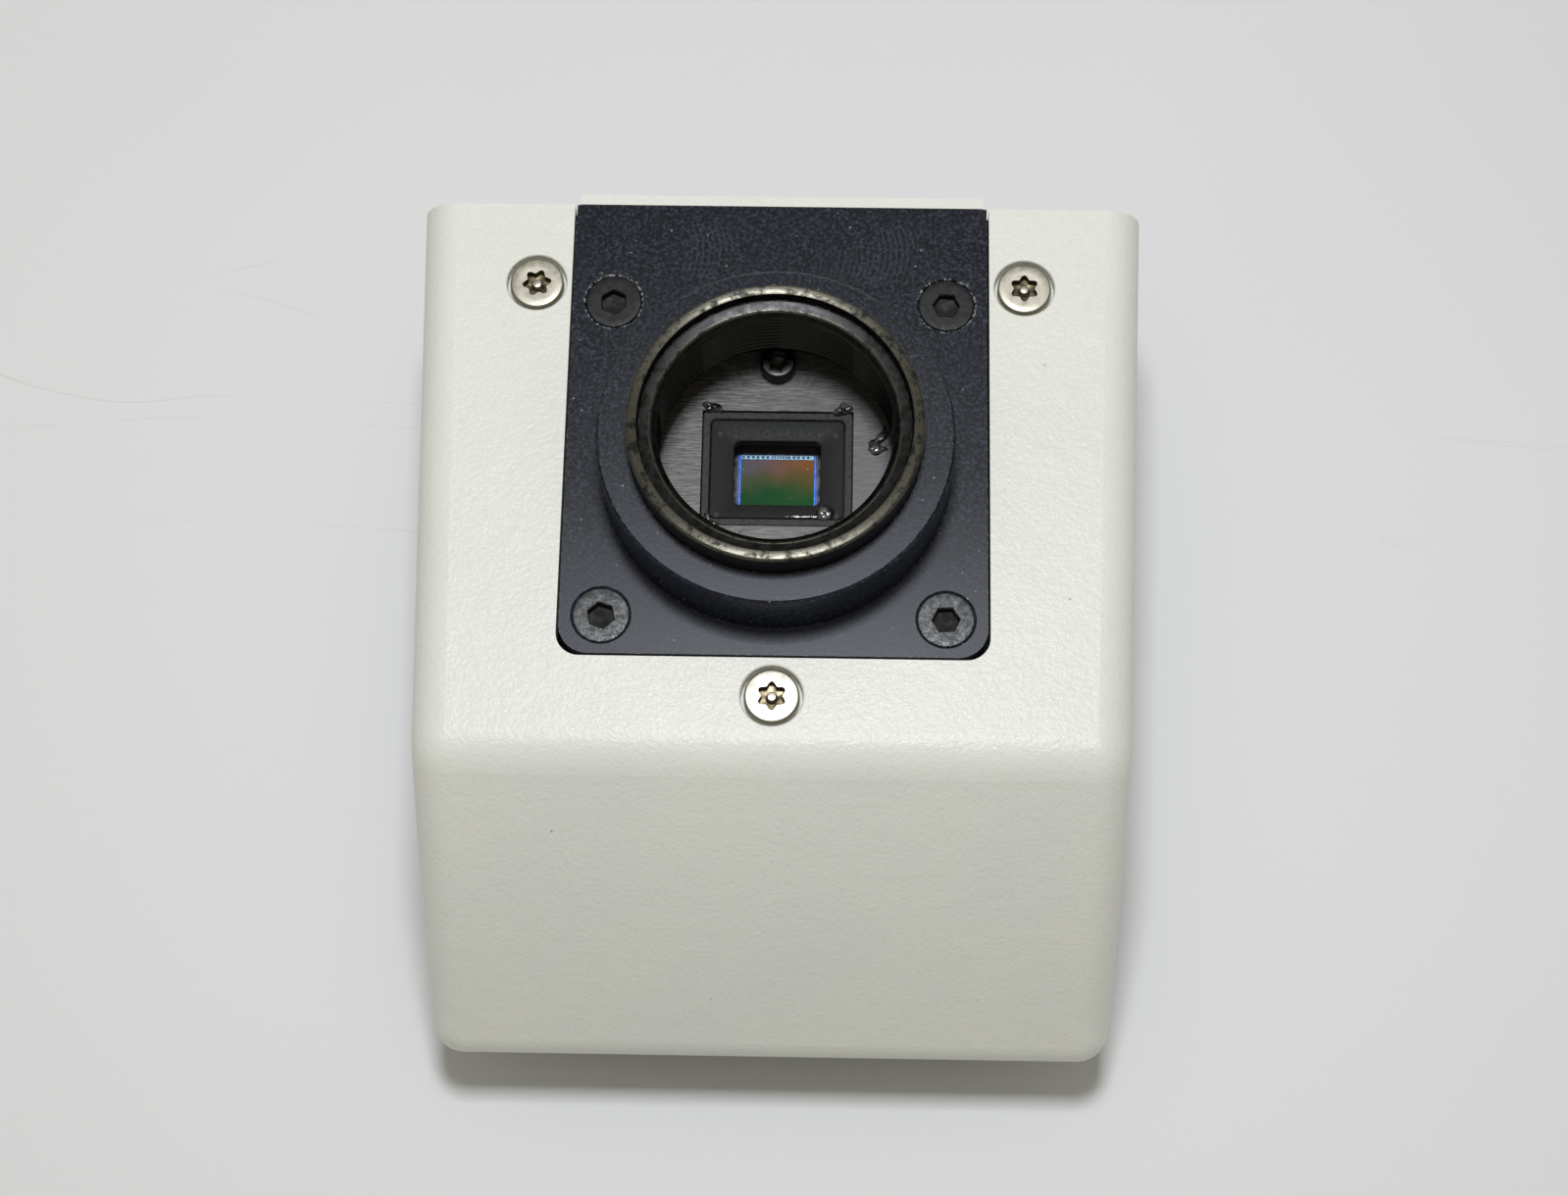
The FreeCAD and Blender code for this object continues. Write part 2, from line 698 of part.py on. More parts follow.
def make_chamber_floor():
    """The brushed disc at the bottom of the throat, with the sensor's window in it."""
    part = new_body("chamber_floor")
    disc = new_sketch(part, at=PLATE_BACK)
    circle(disc, "0", "0", f"{FLOOR_RECESS} - floor_clear")
    pad(disc, "floor_thick", down=True)
    window = new_sketch(part, at=PLATE_BACK)
    rectangle(window, "0", "window_shift", "window_wide / 2", "window_high / 2")
    circle(window, SPACERS[0][0], SPACERS[0][1], "floor_screw_shank + hole_clear")
    pocket(window, "floor_thick + cut_past")


def make_floor_screw():
    screws("floor_screw", SPACERS[:1], PLATE_BACK, "floor_screw_head", "floor_screw_tall",
           "floor_screw_shank", "floor_thick + floor_screw_bite", socket="floor_socket",
           deep="floor_socket_deep", bevel="floor_screw_bevel")


def make_sensor_mask():
    """The black frame round the sensor's window."""
    part = new_body("sensor_mask")
    outline = new_sketch(part, at=f"{PLATE_BACK} - mask_sink")
    rectangle(outline, "0", "window_shift", "window_wide / 2 - mask_gap", "window_high / 2 - mask_gap")
    pad(outline, f"{PLATE_BACK} - mask_sink - {GLASS_TOP} - glass_gap", down=True)
    opening = new_sketch(part, at=f"{PLATE_BACK} - mask_sink")
    rectangle(opening, "0", "0", "aperture_wide / 2", "aperture_high / 2")
    pocket(opening, "floor_thick")
    dress("Fillet", part, "aperture_round", upright_at(four_corners("aperture_wide / 2", "aperture_high / 2")))


def make_sensor_glass():
    block("sensor_glass", "0", "window_shift", "window_wide / 2 - 2 * mask_gap",
          "window_high / 2 - 2 * mask_gap", GLASS_TOP, "glass_thick")


def make_sensor_package():
    """The ceramic carrier, with the open cavity that holds the chip."""
    part = block("sensor_package", "0", "0", "package_wide / 2", "package_high / 2", FLOOR_BACK,
                 f"{FLOOR_BACK} - {PACKAGE_BACK}")
    cavity = new_sketch(part, at=FLOOR_BACK)
    rectangle(cavity, "0", "0", "cavity_wide / 2", "cavity_high / 2")
    pocket(cavity, f"flange_focus + die_thick + {FLOOR_BACK}")


def make_sensor_die():
    block("sensor_die", "0", "0", "die_wide / 2", "die_high / 2", "-flange_focus", "die_thick")


def make_bond_pads():
    """The row of contacts along the chip's upper edge."""
    places = [(f"({step - (BOND_COUNT - 1) / 2}) * bond_pitch", "die_high / 2 - bond_inset")
              for step in range(BOND_COUNT)]
    cells("bond_pads", places, "bond_half_wide", "bond_half_high", "-flange_focus", "bond_thick")


def make_sensor_leads():
    """Two rows of solder leads between the carrier and its board."""
    places = [(f"({step - (LEAD_COUNT - 1) / 2}) * lead_pitch", f"({side}) * (package_high / 2 - lead_inset)")
              for side in (-1, 1) for step in range(LEAD_COUNT)]
    cells("sensor_leads", places, "lead_half_wide", "lead_half_high", BOARD_TOP, "lead_height")


def make_glue_dabs():
    """Dabs of adhesive at the corners of the mask, and one stray dab beside it."""
    part = new_body("glue_dabs")
    sketch = new_sketch(part, at=PLATE_BACK)
    for x, y in four_corners("window_wide / 2 + glue_step", "window_high / 2 + glue_step", "window_shift"):
        circle(sketch, x, y, "glue_radius")
    circle(sketch, "stray_dab_right", "stray_dab_up", "stray_dab_radius")
    pad(sketch, "glue_thick")


def make_sensor_board():
    part = new_body("sensor_board")
    disc = new_sketch(part, at=BOARD_TOP)
    circle(disc, "0", "0", f"{CHAMBER} - board_gap")
    pad(disc, "board_thick", down=True)
    opening = new_sketch(part, at=BOARD_TOP)
    rectangle(opening, "0", "0", "finger_half + finger_gap", "finger_half + finger_gap")
    pocket(opening, "board_thick + cut_past")


def make_board_spacers():
    """Pillars from the chamber floor to the sensor board; the first takes the floor's screw."""
    part = discs("board_spacers", SPACERS, "spacer_radius", FLOOR_BACK,
                 f"{FLOOR_BACK} - {BOARD_TOP}")
    hole = new_sketch(part, at=FLOOR_BACK)
    for x, y in SPACERS:
        circle(hole, x, y, "floor_screw_shank + thread_slack")
    pocket(hole, "floor_screw_bite + tap_room")


def make_desiccant_tablet():
    discs("desiccant_tablet", [("0", "-tablet_place")], "tablet_radius", FLOOR_BACK, "tablet_thick")


def make_cold_finger():
    """The block that reaches through the board to the sensor's back and spreads to the cooler."""
    part = block("cold_finger", "0", "0", "cooler_half", "cooler_half", FINGER_TOP, "finger_plate")
    post = new_sketch(part, at=FINGER_TOP)
    rectangle(post, "0", "0", "finger_half", "finger_half")
    pad(post, f"{PACKAGE_BACK} - {FINGER_TOP}")


def make_cooler():
    """The thermoelectric cooler: two ceramic plates with a grid of pellets between them."""
    block("cooler_cold_plate", "0", "0", "cooler_half", "cooler_half", COOLER_TOP, "ceramic_thick")
    steps = [f"({step - (PELLET_COUNT - 1) / 2}) * 2 * cooler_half / {PELLET_COUNT}"
             for step in range(PELLET_COUNT)]
    places = [(column, line) for column in steps for line in steps]
    cells("cooler_pellets", places, "pellet_side / 2", "pellet_side / 2", PELLET_BACK, "pellet_tall")
    block("cooler_hot_plate", "0", "0", "cooler_half", "cooler_half", PELLET_BACK, "ceramic_thick")
    block("thermal_pad", "0", "0", "cooler_half", "cooler_half", COOLER_BACK, "pad_thick")


def make_thermistor():
    """The temperature bead on the cold finger's plate."""
    block("thermistor", "finger_half + bead_place", "0", "bead_half_wide", "bead_half_high",
          f"{FINGER_TOP} + bead_thick", "bead_thick")


def make_cooler_foam():
    part = new_body("cooler_foam")
    ring = new_sketch(part, at=COOLER_TOP)
    circle(ring, "0", "0", f"{CHAMBER} - foam_gap")
    rectangle(ring, "0", "0", "cooler_half + foam_slack", "cooler_half + foam_slack")
    pad(ring, f"{COOLER_TOP} - {HOUSING_BACK} - foam_short", down=True)


def make_chamber_housing():
    """The sealed block round the sensor and cooler."""
    part = block("chamber_housing", "0", "core_shift", HOUSING_HALF, HOUSING_HALF, PLATE_BACK,
                 f"{PLATE_BACK} - {HOUSING_BACK}")
    dress("Fillet", part, "plate_corner", upright_at(four_corners(HOUSING_HALF, HOUSING_HALF, "core_shift")))
    recess = new_sketch(part, at=PLATE_BACK)
    circle(recess, "0", "0", FLOOR_RECESS)
    pocket(recess, "floor_thick")
    bore = new_sketch(part, at=PLATE_BACK)
    circle(bore, "0", "0", CHAMBER)
    pocket(bore, f"{PLATE_BACK} - {HOUSING_BACK} + cut_past")
    taps = new_sketch(part, at=PLATE_BACK)
    for x, y in PLATE_SCREWS:
        circle(taps, x, y, "plate_shank + thread_slack")
    pocket(taps, "plate_screw_length - plate_thick + tap_room")
    lower_taps = new_sketch(part, at=HOUSING_BACK)
    for x, y in CHAMBER_SCREWS:
        circle(lower_taps, x, y, "chamber_shank + thread_slack")
    pocket(lower_taps, "chamber_bite + tap_room", up=True)
    upper_groove = new_sketch(part, at=PLATE_BACK)
    circle(upper_groove, "0", "0", f"{UPPER_SEAL} - groove_half")
    circle(upper_groove, "0", "0", f"{UPPER_SEAL} + groove_half")
    pocket(upper_groove, "groove_deep")
    lower_groove = new_sketch(part, at=HOUSING_BACK)
    circle(lower_groove, "0", "0", f"{CHAMBER} + lower_seal_step - groove_half")
    circle(lower_groove, "0", "0", f"{CHAMBER} + lower_seal_step + groove_half")
    pocket(lower_groove, "groove_deep", up=True)
    slot = new_sketch(part, "YZ_Plane", f"-{CHAMBER} + slot_start")
    rectangle(slot, "core_shift", f"{BOARD_BACK} - flex_thick / 2", "flex_wide / 2 + slot_gap",
              "flex_thick / 2 + slot_gap")
    pocket(slot, HOUSING_HALF)


def make_chamber_seals():
    seal_ring("upper_seal", UPPER_SEAL, "seal_half", f"{PLATE_BACK} - groove_deep / 2")
    seal_ring("lower_seal", f"{CHAMBER} + lower_seal_step", "seal_half", f"{HOUSING_BACK} + groove_deep / 2")


def make_sensor_flex():
    """The flat link: out through the housing's slot, down its side and onto the main board."""
    part = new_body("sensor_flex")
    near = "(-finger_half - flex_start)"
    wall = f"(-{HOUSING_HALF} - flex_stand)"
    end = f"(-{HOUSING_HALF} - flex_foot)"
    sketch = new_sketch(part, "XZ_Plane", "core_shift")
    polygon(sketch, [
        (near, BOARD_BACK),
        (f"{wall} - flex_thick", BOARD_BACK),
        (f"{wall} - flex_thick", f"{MAIN_TOP} + flex_thick"),
        (end, f"{MAIN_TOP} + flex_thick"),
        (end, MAIN_TOP),
        (wall, MAIN_TOP),
        (wall, f"{BOARD_BACK} - flex_thick"),
        (near, f"{BOARD_BACK} - flex_thick"),
    ])
    pad(sketch, "flex_wide", symmetric=True)


# ---- boards behind the chamber ---------------------------------------------------------

def make_main_board():
    """The frame-shaped board round the heat sink's boss."""
    part = block("main_board", "0", BOARD_MIDDLE, BOARD_HALF, "board_length / 2", MAIN_TOP, "board_thick")
    opening = new_sketch(part, at=MAIN_TOP)
    rectangle(opening, "0", "core_shift", f"{BOSS_HALF} + boss_gap", f"{BOSS_HALF} + boss_gap")
    for x, y in HOOD_SCREWS:
        circle(opening, x, y, "post_radius + post_gap")
    for x, y in STANDOFFS:
        circle(opening, x, y, "board_hole")
    pocket(opening, "board_thick + cut_past")


def make_board_fixings():
    part = discs("board_standoffs", STANDOFFS, "standoff_radius", MAIN_BACK, f"{MAIN_BACK} - {CHASSIS_TOP}")
    holes = new_sketch(part, at=MAIN_BACK)
    for x, y in STANDOFFS:
        circle(holes, x, y, "board_shank + thread_slack")
    pocket(holes, "standoff_tap")
    screws("board_screws", STANDOFFS, MAIN_TOP, "board_head", "board_head_tall", "board_shank",
           "board_thick + board_bite", socket="small_socket", deep="small_socket_deep", bevel="board_bevel")


def make_board_chips():
    """The larger packages on the main board's upper side."""
    part = new_body("board_chips")
    sketch = new_sketch(part, at=MAIN_TOP)
    foot = f"({BOARD_MIDDLE} - board_length / 2)"
    for across, rise, half_wide, half_high in CHIPS:
        rectangle(sketch, across, f"{foot} + {rise}", half_wide, half_high)
    pad(sketch, "chip_tall")


# ---- heat sink and chassis -------------------------------------------------------------

def make_heat_sink():
    """Finned base with a boss up to the cooler, corner pads for the feet and screw wells."""
    part = block("heat_sink", "0", SINK_MIDDLE, "sink_half", SINK_REACH, CHASSIS_BACK, "sink_base")
    boss = new_sketch(part, at=CHASSIS_BACK)
    rectangle(boss, "0", "core_shift", BOSS_HALF, BOSS_HALF)
    pad(boss, f"{HOUSING_BACK} - {CHASSIS_BACK}")
    fins = new_sketch(part, at=BASE_BACK)
    count = int(value("fin_count"))
    for number in range(count):
        place = f"(fin_thick / 2 - sink_half) + {number} * (2 * sink_half - fin_thick) / (fin_count - 1)"
        rectangle(fins, place, SINK_MIDDLE, "fin_thick / 2", SINK_REACH)
    pad(fins, "fin_tall", down=True)
    pads = new_sketch(part, at=BASE_BACK)
    for x, y in FEET:
        rectangle(pads, x, y, "corner_pad / 2", "corner_pad / 2")
    pad(pads, "fin_tall", down=True)
    dishes = new_sketch(part, at=FIN_TIP)
    for x, y in FEET:
        circle(dishes, x, y, "foot_radius + snug")
    pocket(dishes, "foot_recess", up=True)
    wells = new_sketch(part, at=FIN_TIP)
    for x, y in CHAMBER_SCREWS + SINK_SCREWS:
        circle(wells, x, y, "chamber_head + well_gap")
    pocket(wells, "fin_tall", up=True)
    holes = new_sketch(part, at=FIN_TIP)
    for x, y in CHAMBER_SCREWS + SINK_SCREWS:
        circle(holes, x, y, "chamber_shank + hole_clear")
    pocket(holes, f"{HOUSING_BACK} - {FIN_TIP} + cut_past", up=True)


def make_sink_screws():
    kinds = [("chamber_screws", CHAMBER_SCREWS, f"{HOUSING_BACK} - {BASE_BACK} + chamber_bite"),
             ("sink_screws", SINK_SCREWS, "sink_base + chassis_thick - sink_screw_short")]
    for name, places, length in kinds:
        screws(name, places, BASE_BACK, "chamber_head", "chamber_head_tall", "chamber_shank", length,
               along=True, socket="chamber_socket", deep="chamber_socket_deep", bevel="chamber_bevel")


def make_rear_chassis():
    """The frame inside the hood's rim, with the posts that take the hood's screws."""
    part = new_body("rear_chassis")
    plate = new_sketch(part, at=CHASSIS_TOP)
    corners = [(f"-{CHASSIS_HALF}", f"-{CHASSIS_LOW}"), (CHASSIS_HALF, f"-{CHASSIS_LOW}"),
               (CHASSIS_HALF, CHASSIS_HIGH), (f"-{CHASSIS_HALF}", CHASSIS_HIGH)]
    polygon(plate, corners)
    pad(plate, "chassis_thick", down=True)
    dress("Fillet", part, "corner_round", upright_at(corners[:2]))
    posts = new_sketch(part, at=CHASSIS_TOP)
    for x, y in HOOD_SCREWS:
        circle(posts, x, y, "post_radius")
    pad(posts, f"{FACE} - hood_roof - {CHASSIS_TOP}")
    opening = new_sketch(part, at=CHASSIS_TOP)
    rectangle(opening, "0", "core_shift", f"{BOSS_HALF} + boss_slack", f"{BOSS_HALF} + boss_slack")
    for x, y in SINK_SCREWS:
        circle(opening, x, y, "chamber_shank + thread_slack")
    pocket(opening, "chassis_thick + cut_past")
    taps = new_sketch(part, at=f"{FACE} - hood_roof")
    for x, y in HOOD_SCREWS:
        circle(taps, x, y, "hood_shank + thread_slack")
    pocket(taps, "hood_screw_length")


def make_rubber_feet():
    part = discs("rubber_feet", FEET, "foot_radius", FOOT_TOP, "foot_tall")
    dress("Fillet", part, "foot_round", circles_at(f"{FOOT_TOP} - foot_tall", "foot_radius"))


# ---- hood ------------------------------------------------------------------------------

def slope_pocket(part):
    """Cut away what lies above the lower slope, which bulges slightly as one arc."""
    sketch = new_sketch(part, "YZ_Plane", "0")
    start = FreeCAD.Vector(-value("crease"), value(FACE), 0)
    foot = FreeCAD.Vector(-value("hood_low"), value(SLOPE_FOOT), 0)
    chord = start - foot
    outward = FreeCAD.Vector(-chord.y, chord.x, 0).normalize() * value("slope_bulge")
    arc = Part.Arc(start, (start + foot) * 0.5 + outward, foot)
    bow = sketch.addGeometry(arc)
    far = FreeCAD.Vector(-value("hood_low") - value("cut_reach"), value(SLOPE_FOOT), 0)
    top = FreeCAD.Vector(far.x, value(f"{FACE} + cut_reach"), 0)
    over = FreeCAD.Vector(start.x, top.y, 0)
    chain = [foot, far, top, over, start]
    lines = [sketch.addGeometry(Part.LineSegment(one, two)) for one, two in zip(chain, chain[1:])]
    ends = {"start": (lines[-1], 2), "foot": (lines[0], 1), "far": (lines[1], 1), "top": (lines[2], 1),
            "over": (lines[3], 1)}
    for one, two in zip(lines, lines[1:]):
        sketch.addConstraint(Sketcher.Constraint("Coincident", one, 2, two, 1))
    # an arc through three points may be stored either way round, so its ends are matched by place
    arc_start = sketch.getPoint(bow, 1)
    near_foot = arc_start.distanceToPoint(foot) < arc_start.distanceToPoint(start)
    foot_end, start_end = (1, 2) if near_foot else (2, 1)
    sketch.addConstraint(Sketcher.Constraint("Coincident", bow, foot_end, lines[0], 1))
    sketch.addConstraint(Sketcher.Constraint("Coincident", bow, start_end, lines[-1], 2))
    beyond = "-hood_low - cut_reach"
    above = f"{FACE} + cut_reach"
    places = {"start": ("-crease", FACE), "foot": ("-hood_low", SLOPE_FOOT), "far": (beyond, SLOPE_FOOT),
              "top": (beyond, above), "over": ("-crease", above)}
    for word, (x, y) in places.items():
        constrain(sketch, x, "DistanceX", -1, 1, *ends[word])
        constrain(sketch, y, "DistanceY", -1, 1, *ends[word])
    run = "(hood_low - crease)"
    drop = f"({FACE} - {SLOPE_FOOT})"
    constrain(sketch, f"({run} ^ 2 + {drop} ^ 2) / (8 * slope_bulge) + slope_bulge / 2", "Radius", bow)
    pocket(sketch, "4 * hood_half_high", symmetric=True)


def make_front_hood():
    """The cream casting: tapered in plan, flat in front, with a slope at the rounded end."""
    part = new_body("front_hood")
    plan = new_sketch(part, at=RIM)
    corners = [(f"-{HOOD_HALF_LOW}", "-hood_low"), (HOOD_HALF_LOW, "-hood_low"),
               ("hood_half_high", "hood_high"), ("-hood_half_high", "hood_high")]
    polygon(plan, corners)
    pad(plan, HOOD_DEPTH)
    slope_pocket(part)
    dress("Fillet", part, "corner_round", upright_at(corners[:2]))
    face = value(FACE)
    crease = -value("crease")
    half_wide = value(HOOD_HALF_LOW)
    dress("Fillet", part, "crease_round",
          lambda edge: edge.BoundBox.XLength > half_wide and abs(middle(edge).z - face) < TOUCH
          and abs(middle(edge).y - crease) < TOUCH)
    high = value("hood_high")
    foot = value(SLOPE_FOOT)

    def is_front_side(edge):
        place = middle(edge)
        if edge.BoundBox.YLength < 0.5 or abs(place.x) < half_wide - 1.5:
            return False
        return place.z > foot + 0.5 and place.y < high - TOUCH and edge.BoundBox.ZMax > foot + 3
    dress("Fillet", part, "front_round", is_front_side)
    # inside: straight walls, with the roof and the slope followed at the wall's thickness
    inner = "(hood_wall * sqrt(2))"
    cavity = new_sketch(part, "YZ_Plane", "0")
    polygon(cavity, [
        ("hood_high + cut_past", f"{RIM} - cut_past"),
        ("hood_high + cut_past", f"{FACE} - hood_roof"),
        ("roof_past - crease", f"{FACE} - hood_roof"),
        (f"-hood_low + {inner}", f"{SLOPE_FOOT} - cavity_drop"),
        (f"-hood_low + {inner}", f"{RIM} - cut_past"),
    ])
    pocket(cavity, f"2 * {CAVITY_HALF}", symmetric=True)
    notch = new_sketch(part, at=f"{FACE} + cut_past")
    side = "(plate_half + notch_gap)"
    mouth = [(f"-{side}", "-plate_low - notch_gap"), (side, "-plate_low - notch_gap"),
             (side, "hood_high + cut_past"), (f"-{side}", "hood_high + cut_past")]
    polygon(notch, mouth)
    pocket(notch, "hood_roof + 2 * cut_past")
    dress("Fillet", part, "plate_corner - notch_tight", upright_at(mouth[:2]))
    recesses = new_sketch(part, at=FACE)
    for x, y in HOOD_SCREWS:
        circle(recesses, x, y, "hood_recess")
    pocket(recesses, "recess_deep")
    holes = new_sketch(part, at=FACE)
    for x, y in HOOD_SCREWS:
        circle(holes, x, y, "hood_shank + hole_clear")
    pocket(holes, "hood_roof + cut_past")
    dress("Fillet", part, "recess_round", circles_at(FACE, "hood_recess"))
    taps = new_sketch(part, "XZ_Plane", "hood_high")
    for x, y in PANEL_SCREWS:
        circle(taps, x, y, "panel_shank + thread_slack")
    pocket(taps, "panel_bite", up=True)


def make_hood_screws():
    """Pan heads with a six-sided recess and a pin at its centre."""
    seat = f"({FACE} - recess_deep)"
    part = screws("hood_screws", HOOD_SCREWS, seat, "hood_head", "hood_head_tall", "hood_shank",
                  "hood_roof - recess_deep + hood_screw_length - tap_room", bevel="hood_head_bevel")
    sockets = new_sketch(part, at=f"{seat} + hood_head_tall")
    for x, y in HOOD_SCREWS:
        hexagon(sockets, x, y, "hood_socket", 90)
        circle(sockets, x, y, "hood_pin")
    pocket(sockets, "hood_socket_deep")


# ---- end panel -------------------------------------------------------------------------

def make_end_panel():
    """The plate across the open end; its tab fills the notch above the mount plate's edge."""
    part = new_body("end_panel")
    shoulder = f"({FACE} - panel_drop)"
    outline = new_sketch(part, "XZ_Plane", PANEL_FRONT)
    polygon(outline, [
        (f"-{PANEL_HALF}", PANEL_FOOT), (PANEL_HALF, PANEL_FOOT), (PANEL_HALF, shoulder),
        ("plate_half - tab_gap", shoulder), ("plate_half - tab_gap", f"{FACE} - snug"),
        ("tab_gap - plate_half", f"{FACE} - snug"), ("tab_gap - plate_half", shoulder),
        (f"-{PANEL_HALF}", shoulder),
    ])
    pad(outline, "panel_thick", down=True)

    def is_shoulder(edge):
        box = edge.BoundBox
        if box.XLength > TOUCH or box.ZLength > TOUCH or abs(abs(box.XMin) - value(PANEL_HALF)) > TOUCH:
            return False
        return abs(box.ZMin - value(shoulder)) < TOUCH
    dress("Fillet", part, "front_round - panel_inset", is_shoulder)
    openings = new_sketch(part, "XZ_Plane", PANEL_BACK)
    rectangle(openings, "data_place", SOCKET_LEVEL, "data_wide / 2 + cutout_gap", "data_tall / 2 + cutout_gap")
    circle(openings, "-power_place", SOCKET_LEVEL, "power_radius + cutout_gap")
    circle(openings, "0", f"{SOCKET_LEVEL} + lens_rise", "lens_radius + snug")
    for x, y in PANEL_SCREWS:
        circle(openings, x, y, "panel_hole")
    pocket(openings, "panel_thick + cut_past", up=True)


def make_panel_screws():
    screws("panel_screws", PANEL_SCREWS, PANEL_BACK, "panel_head", "panel_head_tall", "panel_shank", "panel_bite",
           plane="XZ_Plane", along=True, socket="small_socket", deep="small_socket_deep", bevel="panel_bevel")


def make_data_connector():
    """A shielded rectangular socket with its contact tongue."""
    part = new_body("data_connector")
    front = f"({PANEL_BACK} + socket_stand)"
    shell = new_sketch(part, "XZ_Plane", front)
    rectangle(shell, "data_place", SOCKET_LEVEL, "data_wide / 2", "data_tall / 2")
    pad(shell, "socket_deep")
    mouth = new_sketch(part, "XZ_Plane", front)
    rectangle(mouth, "data_place", SOCKET_LEVEL, "data_wide / 2 - data_wall", "data_tall / 2 - data_wall")
    rectangle(mouth, "data_place", SOCKET_LEVEL, "data_wide / 2 - tongue_inset", "tongue_half")
    pocket(mouth, "socket_deep - socket_back", up=True)


def make_power_jack():
    """A round low-voltage inlet: flange outside the panel, barrel inside, centre pin."""
    part = new_body("power_jack")
    flange = new_sketch(part, "XZ_Plane", f"{PANEL_BACK} + flange_thick")
    circle(flange, "-power_place", SOCKET_LEVEL, "power_flange")
    pad(flange, "flange_thick")
    barrel = new_sketch(part, "XZ_Plane", PANEL_BACK)
    circle(barrel, "-power_place", SOCKET_LEVEL, "power_radius")
    pad(barrel, "socket_deep - flange_thick + snug")
    mouth = new_sketch(part, "XZ_Plane", f"{PANEL_BACK} + flange_thick")
    circle(mouth, "-power_place", SOCKET_LEVEL, "power_bore")
    circle(mouth, "-power_place", SOCKET_LEVEL, "power_pin")
    pocket(mouth, "socket_deep - socket_back", up=True)


def make_status_lens():
    part = new_body("status_lens")
    sketch = new_sketch(part, "XZ_Plane", f"{PANEL_BACK} + lens_stand")
    circle(sketch, "0", f"{SOCKET_LEVEL} + lens_rise", "lens_radius")
    pad(sketch, "panel_thick + lens_length")


def check_parts():
    """Stop unless every object recomputed and every sub-part is a sound shape."""
    for item in doc.Objects:
        bad = [word for word in item.State if word in ("Invalid", "Error")]
        if bad:
            raise RuntimeError("%s is %s" % (item.Name, bad))
    for part in PARTS:
        if part.Shape.isNull() or not part.Shape.isValid() or not part.Shape.Solids:
            raise RuntimeError("%s has no sound shape" % part.Label)


make_front_hood()
make_hood_screws()
make_mount_plate()
make_plate_screws()
make_c_mount_ring()
make_ring_seal()
make_ring_lock_screws()
make_chamber_floor()
make_floor_screw()
make_sensor_mask()
make_sensor_glass()
make_sensor_package()
make_sensor_die()
make_bond_pads()
make_sensor_leads()
make_glue_dabs()
make_sensor_board()
make_board_spacers()
make_desiccant_tablet()
make_sensor_flex()
make_cold_finger()
make_thermistor()
make_cooler()
make_cooler_foam()
make_chamber_housing()
make_chamber_seals()
make_main_board()
make_board_fixings()
make_board_chips()
make_heat_sink()
make_sink_screws()
make_rear_chassis()
make_rubber_feet()
make_end_panel()
make_panel_screws()
make_data_connector()
make_power_jack()
make_status_lens()

doc.recompute()
check_parts()
os.makedirs("parts", exist_ok=True)
for part in PARTS:
    part.Shape.exportStep("parts/%s.step" % part.Label)
    box = part.Shape.BoundBox
    print("%-18s %2d solids %10.2f mm3  z %7.2f to %7.2f"
          % (part.Label, len(part.Shape.Solids), part.Shape.Volume, box.ZMin, box.ZMax))
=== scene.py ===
import json
import math
import random

import bmesh
import bpy
from mathutils import Matrix, Vector, noise

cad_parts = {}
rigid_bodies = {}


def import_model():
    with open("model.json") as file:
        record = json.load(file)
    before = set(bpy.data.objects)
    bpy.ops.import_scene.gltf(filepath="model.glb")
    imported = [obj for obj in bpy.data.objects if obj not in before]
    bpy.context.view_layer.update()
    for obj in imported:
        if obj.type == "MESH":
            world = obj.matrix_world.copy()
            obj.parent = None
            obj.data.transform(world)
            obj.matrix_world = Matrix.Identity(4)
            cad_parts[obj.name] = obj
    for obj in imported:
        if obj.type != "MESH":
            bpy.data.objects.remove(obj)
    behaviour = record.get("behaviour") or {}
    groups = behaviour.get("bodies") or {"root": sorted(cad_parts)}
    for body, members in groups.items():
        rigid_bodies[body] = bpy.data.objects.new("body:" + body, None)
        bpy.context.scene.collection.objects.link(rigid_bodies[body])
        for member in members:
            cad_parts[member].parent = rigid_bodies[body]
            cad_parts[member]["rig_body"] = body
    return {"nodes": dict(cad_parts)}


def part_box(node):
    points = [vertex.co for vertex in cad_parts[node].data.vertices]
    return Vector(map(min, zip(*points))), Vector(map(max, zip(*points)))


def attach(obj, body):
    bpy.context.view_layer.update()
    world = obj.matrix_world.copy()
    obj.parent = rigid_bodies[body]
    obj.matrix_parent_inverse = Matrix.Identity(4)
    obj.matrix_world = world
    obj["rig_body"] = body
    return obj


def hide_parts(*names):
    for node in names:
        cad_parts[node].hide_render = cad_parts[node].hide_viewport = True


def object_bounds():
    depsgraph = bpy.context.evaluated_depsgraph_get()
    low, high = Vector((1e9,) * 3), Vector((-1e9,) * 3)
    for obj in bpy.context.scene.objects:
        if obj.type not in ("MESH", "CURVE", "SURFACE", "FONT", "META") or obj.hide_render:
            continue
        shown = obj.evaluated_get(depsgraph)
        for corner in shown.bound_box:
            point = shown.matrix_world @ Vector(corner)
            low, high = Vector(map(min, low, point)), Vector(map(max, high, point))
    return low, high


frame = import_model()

# The finish of a cooled camera head that lies on its back with its lens mount upwards.
# Lengths here are millimetres in the CAD frame: +Z out of the mount, +Y towards the sockets,
# Z = 0 at the flange. They become metres only where Blender takes a mesh, shader, lamp or camera.

MM = 0.001
ROUND = 96               # points round a small turned piece
RING_ROUND = 240         # points round the threaded ring
GLOSS_SPREAD = 0.12      # how far a plain finish's roughness wanders either way
random.seed(7)


